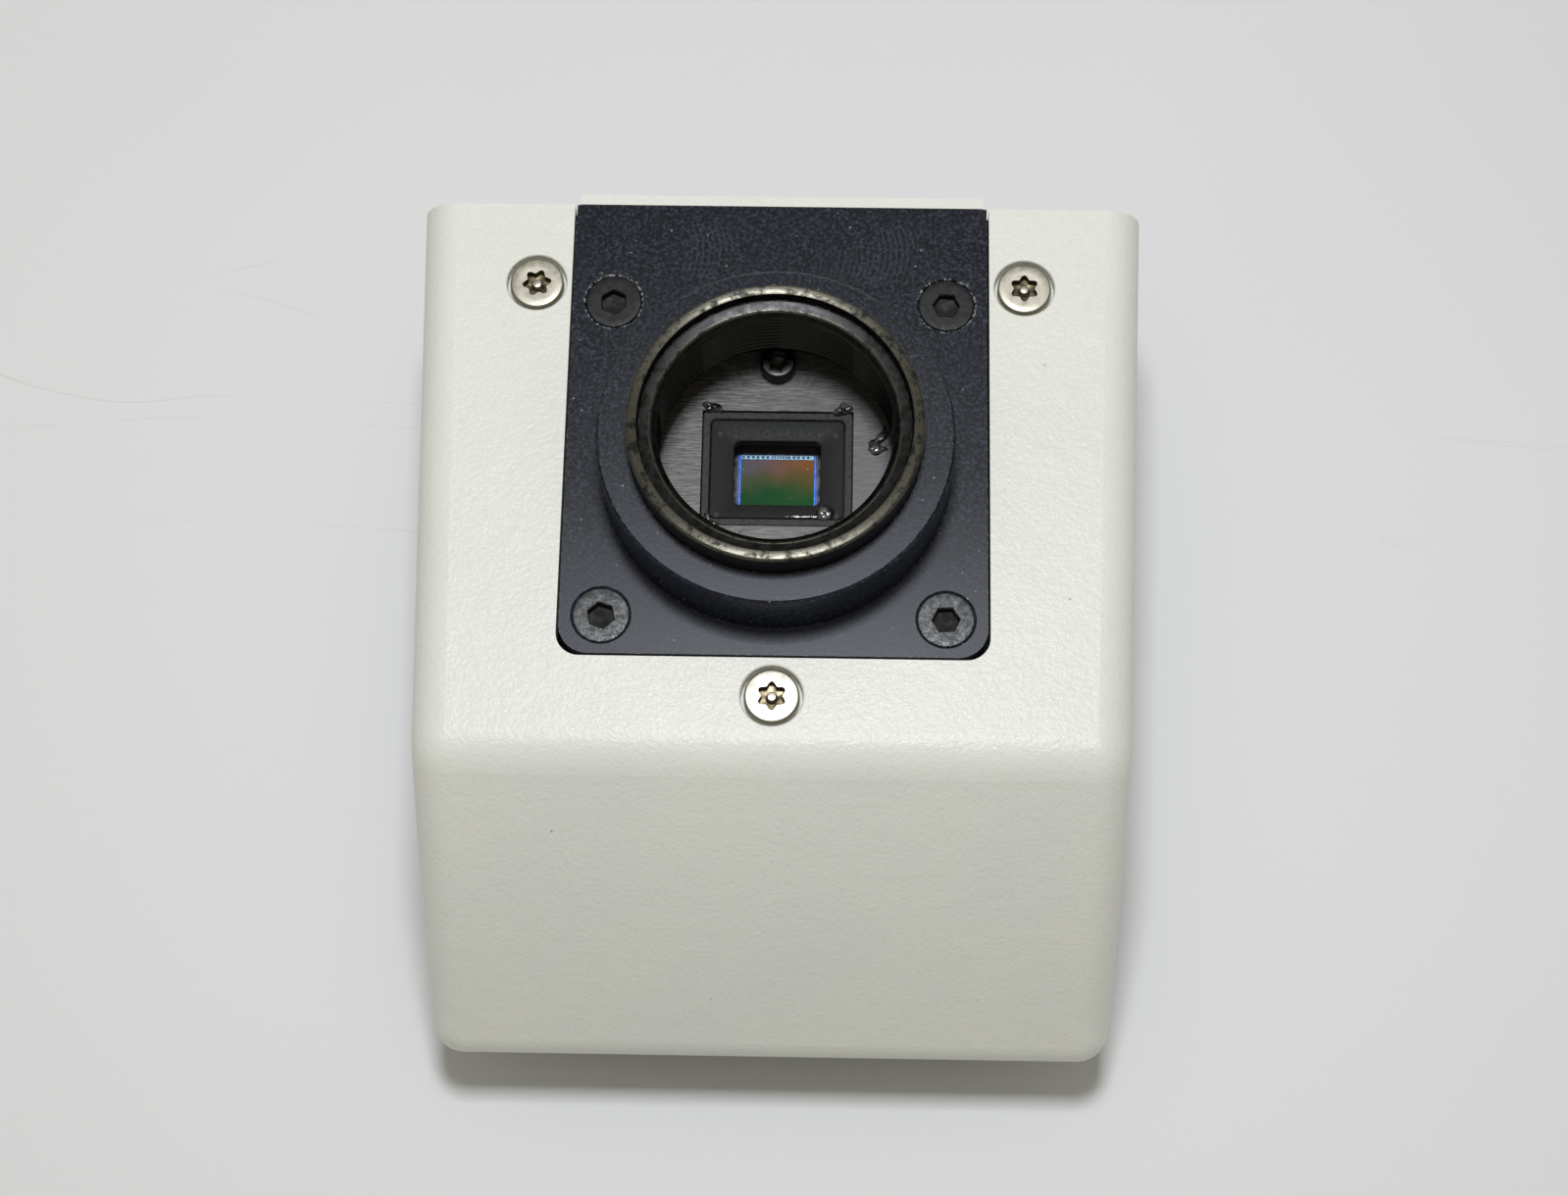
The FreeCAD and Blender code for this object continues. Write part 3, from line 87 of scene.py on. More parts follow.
def clear_start_scene():
    """Remove what Blender's own start-up scene holds, such as its cube."""
    for item in list(bpy.data.objects):
        if "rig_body" not in item and not item.name.startswith("body:"):
            bpy.data.objects.remove(item)


def box_mm(node):
    """Lowest and highest corner of a CAD node, in millimetres."""
    low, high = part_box(node)
    return low / MM, high / MM


clear_start_scene()
CAD_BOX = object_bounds()

FACE = box_mm("front_hood")[1].z               # the hood's flat face
PLATE_END = box_mm("mount_plate")[1].y         # the plate's square end
RING_LOW, RING_HIGH = box_mm("c_mount_ring")
FLOOR_TOP = box_mm("chamber_floor")[1].z
MASK_LOW, MASK_HIGH = box_mm("sensor_mask")
DIE_LOW, DIE_HIGH = box_mm("sensor_die")
SINK_SEAT = box_mm("heat_sink")[0].z + 4.8     # where the cap screws' heads bear on the heat sink


# ---- colour and node helpers ----

def shade(red, green, blue):
    """A linear colour from 0-255 display values."""
    def linear(number):
        part = number / 255
        return part / 12.92 if part <= 0.04045 else ((part + 0.055) / 1.055) ** 2.4
    return (linear(red), linear(green), linear(blue), 1.0)


class Finish:
    """A material being built. Every distance in it is in millimetres of the CAD frame."""

    def __init__(self, name, metallic=0.0, roughness=0.5):
        self.material = bpy.data.materials.new(name)
        self.material.use_nodes = True
        self.tree = self.material.node_tree
        self.shader = self.tree.nodes["Principled BSDF"]
        self.shader.inputs["Metallic"].default_value = metallic
        self.shader.inputs["Roughness"].default_value = roughness
        place = self.add("TexCoord").outputs["Object"]
        self.place = self.add("VectorMath", {0: place, "Scale": 1 / MM}, operation="SCALE").outputs[0]
        split = self.add("SeparateXYZ", {0: self.place})
        self.x, self.y, self.z = split.outputs

    def add(self, kind, inputs=None, **settings):
        node = self.tree.nodes.new("ShaderNode" + kind)
        for name, setting in settings.items():
            setattr(node, name, setting)
        for name, source in (inputs or {}).items():
            self.feed(node.inputs[name], source)
        return node

    def feed(self, socket, source):
        if isinstance(source, bpy.types.NodeSocket):
            self.tree.links.new(source, socket)
        else:
            socket.default_value = source

    def set(self, name, source):
        self.feed(self.shader.inputs[name], source)

    def maths(self, operation, one, two=0.0):
        return self.add("Math", {0: one, 1: two}, operation=operation).outputs[0]

    def stretched(self, stretch):
        if stretch == (1, 1, 1):
            return self.place
        return self.add("VectorMath", {0: self.place, 1: stretch}, operation="MULTIPLY").outputs[0]

    def noise(self, scale, detail=2.0, roughness=0.5, stretch=(1, 1, 1), distortion=0.0):
        """Noise from 0 to 1 whose features are about 1/scale millimetres wide."""
        sockets = {"Vector": self.stretched(stretch), "Scale": scale, "Detail": detail,
                   "Roughness": roughness, "Distortion": distortion}
        return self.add("TexNoise", sockets).outputs["Fac"]

    def cell(self, scale):
        """Distance to the nearest of scattered points, about 1/scale millimetres apart."""
        return self.add("TexVoronoi", {"Vector": self.place, "Scale": scale}).outputs["Distance"]

    def turning_marks(self, distance, close, detail=3.0):
        """Noise that changes only with a distance, about close times in a millimetre."""
        sockets = {"W": self.times(distance, close), "Scale": 1.0, "Detail": detail}
        return self.add("TexNoise", sockets, noise_dimensions="1D").outputs["Fac"]

    def step(self, source, low, high, start=0.0, end=1.0):
        """Map low..high of the source to start..end, smoothly and within those ends."""
        sockets = {"Value": source, "From Min": low, "From Max": high, "To Min": start, "To Max": end}
        return self.add("MapRange", sockets, interpolation_type="SMOOTHSTEP").outputs[0]

    def mix(self, factor, one, two):
        node = self.add("Mix", data_type="RGBA")
        for index, source in ((0, factor), (6, one), (7, two)):
            self.feed(node.inputs[index], source)
        return node.outputs[2]

    def ramp(self, factor, *stops):
        """A colour ramp from (place, colour) pairs."""
        node = self.add("ValToRGB", {0: factor})
        points = node.color_ramp.elements
        while len(points) < len(stops):
            points.new(0.5)
        for point, (place, colour) in zip(points, stops):
            point.position = place
            point.color = colour
        return node.outputs[0]

    def times(self, *factors):
        product = factors[0]
        for factor in factors[1:]:
            product = self.maths("MULTIPLY", product, factor)
        return product

    def distance(self, x=0.0, y=0.0):
        """Distance in plan from an upright line at (x, y)."""
        across = self.maths("SUBTRACT", self.x, x)
        up = self.maths("SUBTRACT", self.y, y)
        total = self.maths("ADD", self.times(across, across), self.times(up, up))
        return self.maths("SQRT", total)

    def edges(self, radius):
        """1 along the piece's edges and corners, 0 on open faces."""
        soft = self.add("Bevel", {"Radius": radius * MM}, samples=6).outputs[0]
        hard = self.add("NewGeometry").outputs["Normal"]
        match = self.add("VectorMath", {0: soft, 1: hard}, operation="DOT_PRODUCT").outputs["Value"]
        return self.step(match, 0.985, 0.88)

    def colour(self, source):
        self.set("Base Color", source)

    def gloss(self, source, low, high):
        """Vary the roughness from low to high with a noise."""
        self.set("Roughness", self.step(source, 0.3, 0.7, low, high))

    def relief(self, *layers):
        """Lay relief over relief. A layer is (source, its height in millimetres)."""
        normal = None
        for source, tall in layers:
            sockets = {"Height": source, "Distance": tall * MM}
            if normal is not None:
                sockets["Normal"] = normal
            normal = self.add("Bump", sockets).outputs[0]
        self.set("Normal", normal)


def plain(name, colour, roughness, metallic, mottle, grain, relief=0.004, stretch=(1, 1, 1), worn=None):
    """A finish with mottled colour, varied gloss, fine relief and, if asked, worn edges."""
    made = Finish(name, metallic)
    dark = tuple(part * (1 - mottle) for part in colour[:3]) + (1.0,)
    light = tuple(min(1.0, part * (1 + mottle)) for part in colour[:3]) + (1.0,)
    broad = made.noise(grain / 9, 3.0)
    fine = made.noise(grain, 4.0, 0.6, stretch)
    base = made.mix(made.step(broad, 0.3, 0.7), dark, light)
    base = made.mix(made.step(fine, 0.35, 0.75, 0.0, 0.5), base, dark)
    if worn:
        chips = made.times(made.edges(0.15), made.step(made.noise(3.0, 3.0), 0.35, 0.6))
        base = made.mix(chips, base, worn)
    made.colour(base)
    glossy = max(0.02, roughness - GLOSS_SPREAD)
    matt = min(1.0, roughness + GLOSS_SPREAD)
    made.set("Roughness", made.step(made.noise(grain / 4, 4.0), 0.25, 0.75, glossy, matt))
    made.relief((fine, relief))
    return made.material


# ---- finishes with a character of their own ----

CREAM = shade(236, 236, 229)
GRIME = shade(196, 188, 160)


def powder_coat(name, grain_tall=0.045):
    """Cream powder coat: a pebbled skin, a few dark specks, faint yellow scuffs."""
    made = Finish(name)
    made.set("Specular IOR Level", 0.38)
    pebble = made.noise(2.1, 2.0, 0.5, distortion=0.4)
    broad = made.noise(0.5, 2.0)
    fine = made.noise(5.5, 2.0)
    tint = made.mix(made.step(made.noise(0.05, 3.0), 0.3, 0.7), CREAM, shade(233, 234, 227))
    specks = made.times(made.step(made.cell(0.16), 0.04, 0.02), made.step(made.noise(0.4), 0.5, 0.55))
    tint = made.mix(made.times(specks, 0.6), tint, shade(112, 106, 92))
    # painted shade: the pebble's low spots are painted a little darker, as shade in its hollows
    tint = made.mix(made.step(pebble, 0.3, 0.48, 0.1, 0.0), tint, shade(196, 196, 184))
    scuff = made.times(made.step(made.noise(0.9, 5.0, 0.7, (1, 0.25, 1)), 0.66, 0.76),
                       made.step(made.noise(0.06, 2.0), 0.52, 0.66))
    tint = made.mix(made.times(scuff, 0.35), tint, GRIME)
    made.colour(tint)
    made.gloss(fine, 0.3, 0.4)
    made.relief((broad, grain_tall * 1.2), (pebble, grain_tall * 1.25), (fine, grain_tall * 0.5))
    return made.material


def anodised(name):
    """Blue-black anodising with a fine mottle, specks, cutter arcs at the square end and chips."""
    made = Finish(name)
    made.set("Specular IOR Level", 0.21)
    mottle = made.noise(2.6, 6.0, 0.72)
    tone = made.ramp(mottle, (0.36, shade(6, 9, 14)), (0.5, shade(16, 20, 27)), (0.63, shade(56, 62, 80)))
    cloud = made.step(made.noise(0.2, 3.0), 0.4, 0.7, 0.0, 0.4)
    tone = made.mix(cloud, tone, shade(28, 27, 42))
    # faces that point up are painted paler towards the lower end: a painted sheen of the lamp's reflection
    up = made.add("SeparateXYZ", {"Vector": made.add("NewGeometry").outputs["Normal"]}).outputs["Z"]
    painted_sheen = made.times(made.step(made.y, 0.0, -20.0, 0.0, 0.55), made.step(up, 0.6, 0.9))
    tone = made.mix(painted_sheen, tone, shade(74, 76, 86))
    specks = made.times(made.step(made.cell(0.8), 0.12, 0.07), made.step(made.noise(0.7), 0.5, 0.6))
    tone = made.mix(made.times(specks, 0.45), tone, shade(190, 190, 188))
    chips = made.times(made.edges(0.1), made.step(made.noise(1.6, 4.0, 0.7), 0.52, 0.62))
    tone = made.mix(made.times(chips, 0.8), tone, shade(186, 186, 182))
    # a rubbed line round each of the two screws at the square end
    line = PLATE_SCREW_HEAD + 0.19
    for x, y in PLATE_SCREWS[1::2]:
        off = made.maths("ABSOLUTE", made.maths("SUBTRACT", made.distance(x, y), line))
        rub = made.times(made.step(off, 0.13, 0.05), made.step(made.noise(2.2, 4.0, 0.75), 0.5, 0.6))
        tone = made.mix(made.times(rub, 0.85), tone, shade(198, 200, 198))
    # the end mill's trail: arcs of one size, one after another along X, near the square end
    cutter_radius = 7.5
    cutter_feed = 0.62
    row = made.maths("SUBTRACT", made.y, PLATE_END - 5.4)
    rest = made.maths("SUBTRACT", cutter_radius ** 2, made.times(row, row))
    rise = made.maths("SQRT", made.maths("MAXIMUM", rest, 0.0))
    trail = made.maths("SINE", made.times(made.maths("SUBTRACT", made.x, rise), 2 * math.pi / cutter_feed))
    patches = made.times(made.step(made.noise(0.16, 2.0, stretch=(1, 0.4, 1)), 0.5, 0.62),
                         made.step(made.y, PLATE_END - 10.0, PLATE_END - 7.5),
                         made.step(made.y, PLATE_END - 1.0, PLATE_END - 3.5),
                         made.step(made.z, FACE - 0.4, FACE - 0.2))
    tone = made.mix(made.times(made.step(trail, 0.3, 1.0), patches, 0.55), tone, shade(64, 68, 76))
    made.colour(tone)
    made.gloss(mottle, 0.26, 0.36)
    made.relief((mottle, 0.008), (made.times(trail, patches), 0.002))
    return made.material


def turned_black(name):
    """Blackened steel: glossy, with fine turning marks round the lens axis."""
    made = Finish(name, 0.15)
    made.set("Specular IOR Level", 0.2)
    marks = made.turning_marks(made.distance(), 14.0)
    blotch = made.noise(0.9, 4.0)
    tone = made.mix(made.step(blotch, 0.35, 0.7), shade(11, 11, 12), shade(26, 25, 26))
    chips = made.times(made.edges(0.1), made.step(made.noise(1.1, 4.0, 0.7), 0.46, 0.6))
    tone = made.mix(chips, tone, shade(196, 188, 172))
    made.colour(tone)
    made.gloss(blotch, 0.2, 0.36)
    made.relief((marks, 0.004))
    return made.material


def worn_rim(name):
    """The ring's rubbed rim: bare steel whose turning marks draw the light into two arcs."""
    made = Finish(name, 1.0)
    made.set("Anisotropic", 0.85)
    made.set("Anisotropic Rotation", 0.25)
    made.set("Tangent", made.add("Tangent", direction_type="RADIAL", axis="Z").outputs[0])
    marks = made.turning_marks(made.distance(), 22.0)
    blotch = made.noise(0.8, 5.0, 0.7)
    bare = made.mix(made.step(marks, 0.35, 0.65), shade(64, 64, 58), shade(110, 107, 96))
    tone = made.mix(made.step(blotch, 0.46, 0.62, 0.0, 0.85), bare, shade(28, 29, 27))
    made.colour(tone)
    made.gloss(blotch, 0.24, 0.42)
    made.relief((marks, 0.006))
    return made.material


def black_screw(name, light):
    """Black oxide on a screw head: satin, blotched, rubbed at its edges. Light scales its tone: painted
    light, lighter and darker copies for where more and less light falls.
    """
    made = Finish(name, 0.55)
    blotch = made.noise(1.4, 4.0, 0.65)
    tone = made.mix(made.step(blotch, 0.35, 0.7), shade(24 * light, 25 * light, 26 * light),
                    shade(52 * light, 53 * light, 53 * light))
    chips = made.times(made.edges(0.1), made.step(made.noise(2.0, 3.0), 0.5, 0.66))
    made.colour(made.mix(made.times(chips, 0.7), tone, shade(165, 160, 150)))
    made.gloss(made.noise(5.0, 3.0), 0.3, 0.5)
    made.relief((made.noise(7.0, 3.0), 0.006))
    return made.material


def turned_steel(name, centres, tint=(184, 180, 166), rough=0.36):
    """Stainless steel with concentric turning marks about each screw's own centre."""
    made = Finish(name, 1.0)
    nearest = None
    for x, y in centres:
        reach = made.distance(x, y)
        nearest = reach if nearest is None else made.maths("MINIMUM", nearest, reach)
    marks = made.turning_marks(nearest, 11.0, 4.0)
    stain = made.noise(1.3, 4.0, 0.7)
    tone = made.mix(made.step(marks, 0.3, 0.7), shade(*(part * 0.88 for part in tint)), shade(*tint))
    tone = made.mix(made.step(stain, 0.6, 0.78, 0.0, 0.35), tone, shade(150, 142, 122))
    made.colour(tone)
    made.gloss(stain, rough - 0.06, rough + 0.12)
    made.relief((marks, 0.006))
    return made.material


def brushed_floor(name):
    """Dark metal, brushed almost along X, with a few arcs scraped by the screw's tool."""
    made = Finish(name, 0.3)
    made.set("Specular IOR Level", 0.5)
    hair = made.noise(2.0, 5.0, 0.75, (0.22, 3.2, 1), 0.3)
    cloud = made.noise(0.16, 3.0)
    grit = made.noise(6.0, 4.0, 0.7)
    tone = made.mix(made.step(hair, 0.4, 0.64), shade(56, 55, 56), shade(132, 128, 124))
    # painted shade: the floor is painted darker towards +X, the side that lies in shade
    tone = made.mix(made.step(made.x, -6.0, 9.0, 0.0, 0.45), tone, shade(76, 80, 82))
    tone = made.mix(made.step(cloud, 0.35, 0.68, 0.0, 0.25), tone, shade(66, 70, 72))
    around = made.distance(FLOOR_SCREW[0], FLOOR_SCREW[1])
    scrape = made.maths("SINE", made.times(around, 7.0))
    near = made.times(made.step(around, 6.5, 3.5), made.step(made.noise(0.7, 3.0), 0.45, 0.6))
    tone = made.mix(made.times(made.step(scrape, 0.86, 1.0), near, 0.4), tone, shade(140, 140, 138))
    tone = made.mix(made.step(grit, 0.62, 0.8, 0.0, 0.25), tone, shade(30, 31, 32))
    made.colour(tone)
    made.gloss(hair, 0.36, 0.5)
    made.relief((hair, 0.006), (grit, 0.004))
    return made.material


def mask_finish(name, colour=(46, 47, 46), rough=0.42):
    """Black paint that hardly shines, with dust on it."""
    made = Finish(name)
    made.set("Specular IOR Level", 0.08)
    dust = made.step(made.cell(1.6), 0.1, 0.05, 0.0, 0.35)
    mottle = made.noise(3.0, 4.0, 0.6)
    tone = made.mix(made.step(mottle, 0.3, 0.7), shade(*(part * 0.78 for part in colour)), shade(*colour))
    made.colour(made.mix(dust, tone, shade(120, 120, 118)))
    made.gloss(mottle, rough - 0.06, rough + 0.1)
    made.relief((mottle, 0.008))
    return made.material


def chip_surface(name):
    """The imaging area: a fine grid that splits light into purple, orange and green."""
    made = Finish(name, roughness=0.6)
    made.set("Specular IOR Level", 0.1)
    across = made.step(made.x, -4.1, 4.1)
    upper = made.mix(across, shade(104, 98, 112), shade(150, 96, 48))
    middle = made.mix(across, shade(84, 92, 66), shade(112, 92, 50))
    lower = made.mix(across, shade(30, 84, 46), shade(34, 92, 44))
    drift = made.maths("ADD", made.y, made.step(made.noise(0.35, 2.0), 0.2, 0.8, -0.7, 0.7))
    tone = made.mix(made.step(drift, 2.4, 0.4), upper, middle)
    tone = made.mix(made.step(drift, 0.9, -1.6), tone, lower)
    lines = made.maths("SINE", made.times(made.y, 26.0))
    tone = made.mix(made.step(lines, 0.2, 1.0, 0.0, 0.16), tone, shade(14, 30, 26))
    specks = made.times(made.step(made.cell(1.1), 0.09, 0.05), 0.9)
    tone = made.mix(specks, tone, shade(170, 214, 150))
    made.colour(tone)
    return made.material


def painted_glow_trace(name, colour, glow):
    """The chip's border traces, painted to glow one pure colour: a painted glint for the flash of light they
    send back.
    """
    made = Finish(name, metallic=0.4, roughness=0.2)
    ripple = made.noise(2.2, 3.0)
    bright = shade(*(min(255, part * 1.25) for part in colour))
    tone = made.mix(made.step(ripple, 0.35, 0.7), shade(*colour), bright)
    made.colour(tone)
    made.set("Emission Color", tone)
    made.set("Emission Strength", glow)
    return made.material


def clear_glass(name):
    """The cover window, almost invisible except for what it reflects and its dust."""
    made = Finish(name, roughness=0.03)
    dust = made.step(made.cell(1.3), 0.06, 0.03, 0.0, 0.5)
    smear = made.step(made.noise(0.5, 3.0), 0.5, 0.75, 0.012, 0.03)
    made.colour(made.mix(dust, shade(60, 66, 70), shade(220, 222, 214)))
    made.set("Alpha", made.maths("MAXIMUM", dust, smear))
    return made.material


def epoxy(name):
    """Clear adhesive that shows the dark metal under it and catches the light."""
    made = Finish(name)
    made.set("Coat Weight", 0.8)
    cloud = made.noise(1.8, 3.0)
    made.colour(made.mix(made.step(cloud, 0.35, 0.7), shade(22, 23, 23), shade(84, 84, 80)))
    made.gloss(cloud, 0.06, 0.26)
    made.relief((made.noise(2.5, 3.0), 0.05))
    return made.material


def green_lens(name):
    """The indicator's green lens."""
    made = Finish(name)
    made.set("Coat Weight", 0.5)
    made.set("Transmission Weight", 0.35)
    swirl = made.noise(2.0, 2.0)
    made.colour(made.mix(swirl, shade(40, 120, 70), shade(96, 190, 120)))
    made.gloss(swirl, 0.1, 0.22)
    return made.material


def circuit(name):
    """Green solder mask over a faint grid of copper tracks."""
    made = Finish(name)
    tracks = made.maths("MAXIMUM", made.step(made.maths("SINE", made.times(made.x, 4.2)), 0.7, 0.9),
                        made.step(made.maths("SINE", made.times(made.y, 3.7)), 0.75, 0.92))
    spread = made.times(tracks, made.step(made.noise(0.25, 2.0), 0.45, 0.55))
    made.colour(made.mix(made.times(spread, 0.6), shade(20, 74, 44), shade(54, 122, 66)))
    made.gloss(made.noise(3.0, 3.0), 0.32, 0.48)
    made.relief((spread, 0.03))
    return made.material


# ---- mesh helpers ----

def ring_points(radius, level, count=ROUND):
    """Points once round the Z axis. The radius is a number or a function of the angle."""
    points = []
    for step in range(count):
        angle = 2 * math.pi * step / count
        reach = radius(angle) if callable(radius) else radius
        points.append(Vector((reach * math.cos(angle), reach * math.sin(angle), level)))
    return points


def rounded_loop(half_wide, half_high, radius, level, centre=(0.0, 0.0), arc=8):
    """Points round a rectangle with rounded corners, anticlockwise from its right side."""
    points = []
    for turn, (side, end) in enumerate(((1, 1), (-1, 1), (-1, -1), (1, -1))):
        middle_x = centre[0] + side * (half_wide - radius)
        middle_y = centre[1] + end * (half_high - radius)
        for step in range(arc + 1):
            angle = math.radians(90 * turn + 90 * step / arc)
            x = middle_x + radius * math.cos(angle)
            y = middle_y + radius * math.sin(angle)
            points.append(Vector((x, y, level)))
    return points


def hexagon_reach(flats):
    """The radius of a hexagon at each angle, for the width across its flats."""
    def reach(angle):
        part = (angle + math.pi / 6) % (math.pi / 3) - math.pi / 6
        return flats / 2 / math.cos(part)
    return reach


def star_reach(outer, inner):
    """The radius of a six-lobed recess at each angle."""
    def reach(angle):
        return (outer + inner) / 2 + (outer - inner) / 2 * math.cos(6 * angle)
    return reach


def rounded_edge(radius_from, radius_to, level_from, level_to, steps=4):
    """Rows of a quarter-round from one radius and level to another."""
    rows = []
    for step in range(steps + 1):
        angle = math.pi / 2 * step / steps
        rows.append((radius_from + (radius_to - radius_from) * (1 - math.cos(angle)),
                     level_from + (level_to - level_from) * math.sin(angle)))
    return rows


def split_outline(outline):
    """Rows and each band's material number, from an outline of (radius, level, material)."""
    rows = [(radius, level) for radius, level, paint in outline]
    return rows, [paint for radius, level, paint in outline[1:]]


def add_skin(shape, loops, closed, paints):
    """Join each loop of points to the next with faces; paints gives each band's material."""
    rows = [[shape.verts.new(point) for point in loop] for loop in loops]
    bands = list(zip(rows, rows[1:]))
    if closed:
        bands.append((rows[-1], rows[0]))
    for band, (near, far) in enumerate(bands):
        count = len(near)
        for index in range(count):
            following = (index + 1) % count
            face = shape.faces.new((near[index], near[following], far[following], far[index]))
            face.material_index = paints[band] if paints else 0
    if not closed:
        shape.faces.new(list(reversed(rows[0])))
        last = shape.faces.new(rows[-1])
        last.material_index = paints[-1] if paints else 0


def add_piece(name, skins, finishes, body="camera", replaces=(), sharp=32, closed=False, paints=None):
    """Make a named piece that rides on a CAD body from its skins, each a list of loops."""
    shape = bmesh.new()
    for loops in skins:
        add_skin(shape, loops, closed, paints)
    bmesh.ops.recalc_face_normals(shape, faces=shape.faces)
    bmesh.ops.scale(shape, vec=(MM, MM, MM), verts=shape.verts)
    mesh = bpy.data.meshes.new(name)
    shape.to_mesh(mesh)
    shape.free()
    for finish in finishes:
        mesh.materials.append(finish)
    mesh.shade_smooth()
    mesh.set_sharp_from_angle(angle=math.radians(sharp))
    piece = bpy.data.objects.new(name, mesh)
    bpy.context.scene.collection.objects.link(piece)
    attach(piece, body)
    if replaces:
        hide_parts(*replaces)


def turned(name, rows, places, finishes, replaces=(), paints=None, count=ROUND, sharp=32):
    """Turned pieces, one at each place. A row is (radius or function of the angle, level)."""
    skins = [[[place @ point for point in ring_points(radius, level, count)] for radius, level in rows]
             for place in places]
    add_piece(name, skins, finishes, replaces=replaces, sharp=sharp, paints=paints)


def at(x, y, z, turn=0.0):
    """A piece that stands upright at a place, turned about its own axis."""
    return Matrix.Translation((x, y, z)) @ Matrix.Rotation(turn, 4, "Z")


def facing_y(x, y, z, turn=0.0):
    """A piece whose own +Z points along the object's +Y."""
    return Matrix.Translation((x, y, z)) @ Matrix.Rotation(-math.pi / 2, 4, "X") @ at(0, 0, 0, turn)


def facing_down(x, y, z, turn=0.0):
    """A piece whose own +Z points down."""
    return Matrix.Translation((x, y, z)) @ Matrix.Rotation(math.pi, 4, "X") @ at(0, 0, 0, turn)


def clusters(node, axes=(0, 1), reach=4.0):
    """Centres of the separate solids in a node, from its mesh, along two axes, in millimetres."""
    found = []
    for vertex in frame["nodes"][node].data.vertices:
        spot = (vertex.co[axes[0]] / MM, vertex.co[axes[1]] / MM)
        for group in found:
            if math.hypot(group[0][0] - spot[0], group[0][1] - spot[1]) < 2 * reach:
                group.append(spot)
                break
        else:
            found.append([spot])
    centres = []
    for group in found:
        first = [spot[0] for spot in group]
        second = [spot[1] for spot in group]
        centres.append(((min(first) + max(first)) / 2, (min(second) + max(second)) / 2))
    return sorted(centres)


# ---- where things stand, read from the CAD ----

HOOD_SCREWS = clusters("hood_screws")
PLATE_SCREWS = clusters("plate_screws")
SINK_SCREWS = clusters("sink_screws")
CHAMBER_SCREWS = clusters("chamber_screws")
PANEL_SCREWS = clusters("panel_screws", axes=(0, 2))
FEET = clusters("rubber_feet", reach=5.0)
FLOOR_SCREW = clusters("floor_screw")[0]
PLATE_SCREW_HEAD = 2.97  # radius of a countersunk head


# ---- pieces of the lens mount ----

THREAD_PITCH = 25.4 / 32
THREAD_CREST = 12.3
THREAD_ROOT = 12.72
THREAD_TOP = -1.95
THREAD_STEPS = 9         # loops of points in one pitch
RIM_WIDE = 1.15          # across the rubbed rim


def thread_reach(level):
    """The lens thread's radius at each angle of one level, fading out at its mouth."""
    fade = min(1.0, max(0.0, (THREAD_TOP - level) / (THREAD_PITCH / 2)))
    half = (THREAD_ROOT - THREAD_CREST) / 2

    def reach(angle):
        phase = 2 * math.pi * level / THREAD_PITCH + angle
        return THREAD_CREST + half * fade * (1 + math.cos(phase))
    return reach


def make_threaded_ring(black, bare, thread_black):
    """The adjustable ring: rubbed rim, dark step, a thin bright ledge and the lens thread."""
    outer = RING_HIGH.x
    inner = outer - RIM_WIDE
    ledge = THREAD_CREST + 0.52
    foot = RING_LOW.z
    rows, paints = split_outline([
        (THREAD_CREST + 0.3, foot, 0), (outer - 0.2, foot, 0), (outer, foot + 0.2, 0), (outer, -0.45, 0),
        (outer, -0.3, 0), (outer - 0.07, -0.12, 1), (outer - 0.22, -0.02, 1), (outer - 0.3, 0.0, 1),
        (outer - 0.62, 0.0, 1), (inner + 0.14, 0.0, 1), (inner + 0.03, -0.05, 1), (inner, -0.16, 1),
        (inner - 0.05, -0.32, 0), (inner - 0.12, -1.0, 0), (inner - 0.2, -1.16, 0), (inner - 0.34, -1.22, 0),
        (ledge + 0.3, -1.26, 0), (ledge + 0.2, -1.28, 1), (ledge + 0.08, -1.36, 1), (ledge, -1.46, 1),
        (THREAD_CREST + 0.1, -1.86, 0),
    ])
    level = THREAD_TOP
    while level > foot + 0.05:
        rows.append((thread_reach(level), level))
        paints.append(2)
        level -= THREAD_PITCH / THREAD_STEPS
    paints.append(0)
    loops = [ring_points(radius, height, RING_ROUND) for radius, height in rows]
    add_piece("threaded_ring", [loops], [black, bare, thread_black], "mount_ring",
              ("c_mount_ring",), 40, True, paints)


def make_plate_screws(finishes, shaded_socket_finish):
    """Countersunk hexagon-socket heads, each turned its own way."""
    low, high = box_mm("plate_screws")
    foot = low.z
    top = high.z
    shank = 1.5
    head = PLATE_SCREW_HEAD
    socket = hexagon_reach(2.5)
    mouth = hexagon_reach(2.75)
    # band 1, the socket's walls and floor, is near-black: the screw's black oxide deepened by painted shade
    # in the socket
    rows, paints = split_outline([
        (1.1, foot, 0), (1.45, foot + 0.4, 0), (shank, foot + 0.6, 0), (shank, top - 1.6, 0),
        (head - 0.07, top - 0.2, 0), (head, top - 0.12, 0), (head, top - 0.08, 0),
        (head - 0.09, top - 0.01, 0), (2.8, top, 0), (2.2, top, 0), (mouth, top, 0),
        (socket, top - 0.1, 0), (socket, top - 1.0, 1), (0.9, top - 1.05, 1), (0.25, top - 1.3, 1),
    ])
    turns = (12, 5, 34, 27)
    for index, ((x, y), turn) in enumerate(zip(PLATE_SCREWS, turns)):
        turned("plate_screw_%d" % (index + 1), rows, [at(x, y, 0, math.radians(turn))],
               [finishes[index % 2], shaded_socket_finish], ("plate_screws",), paints, sharp=28)


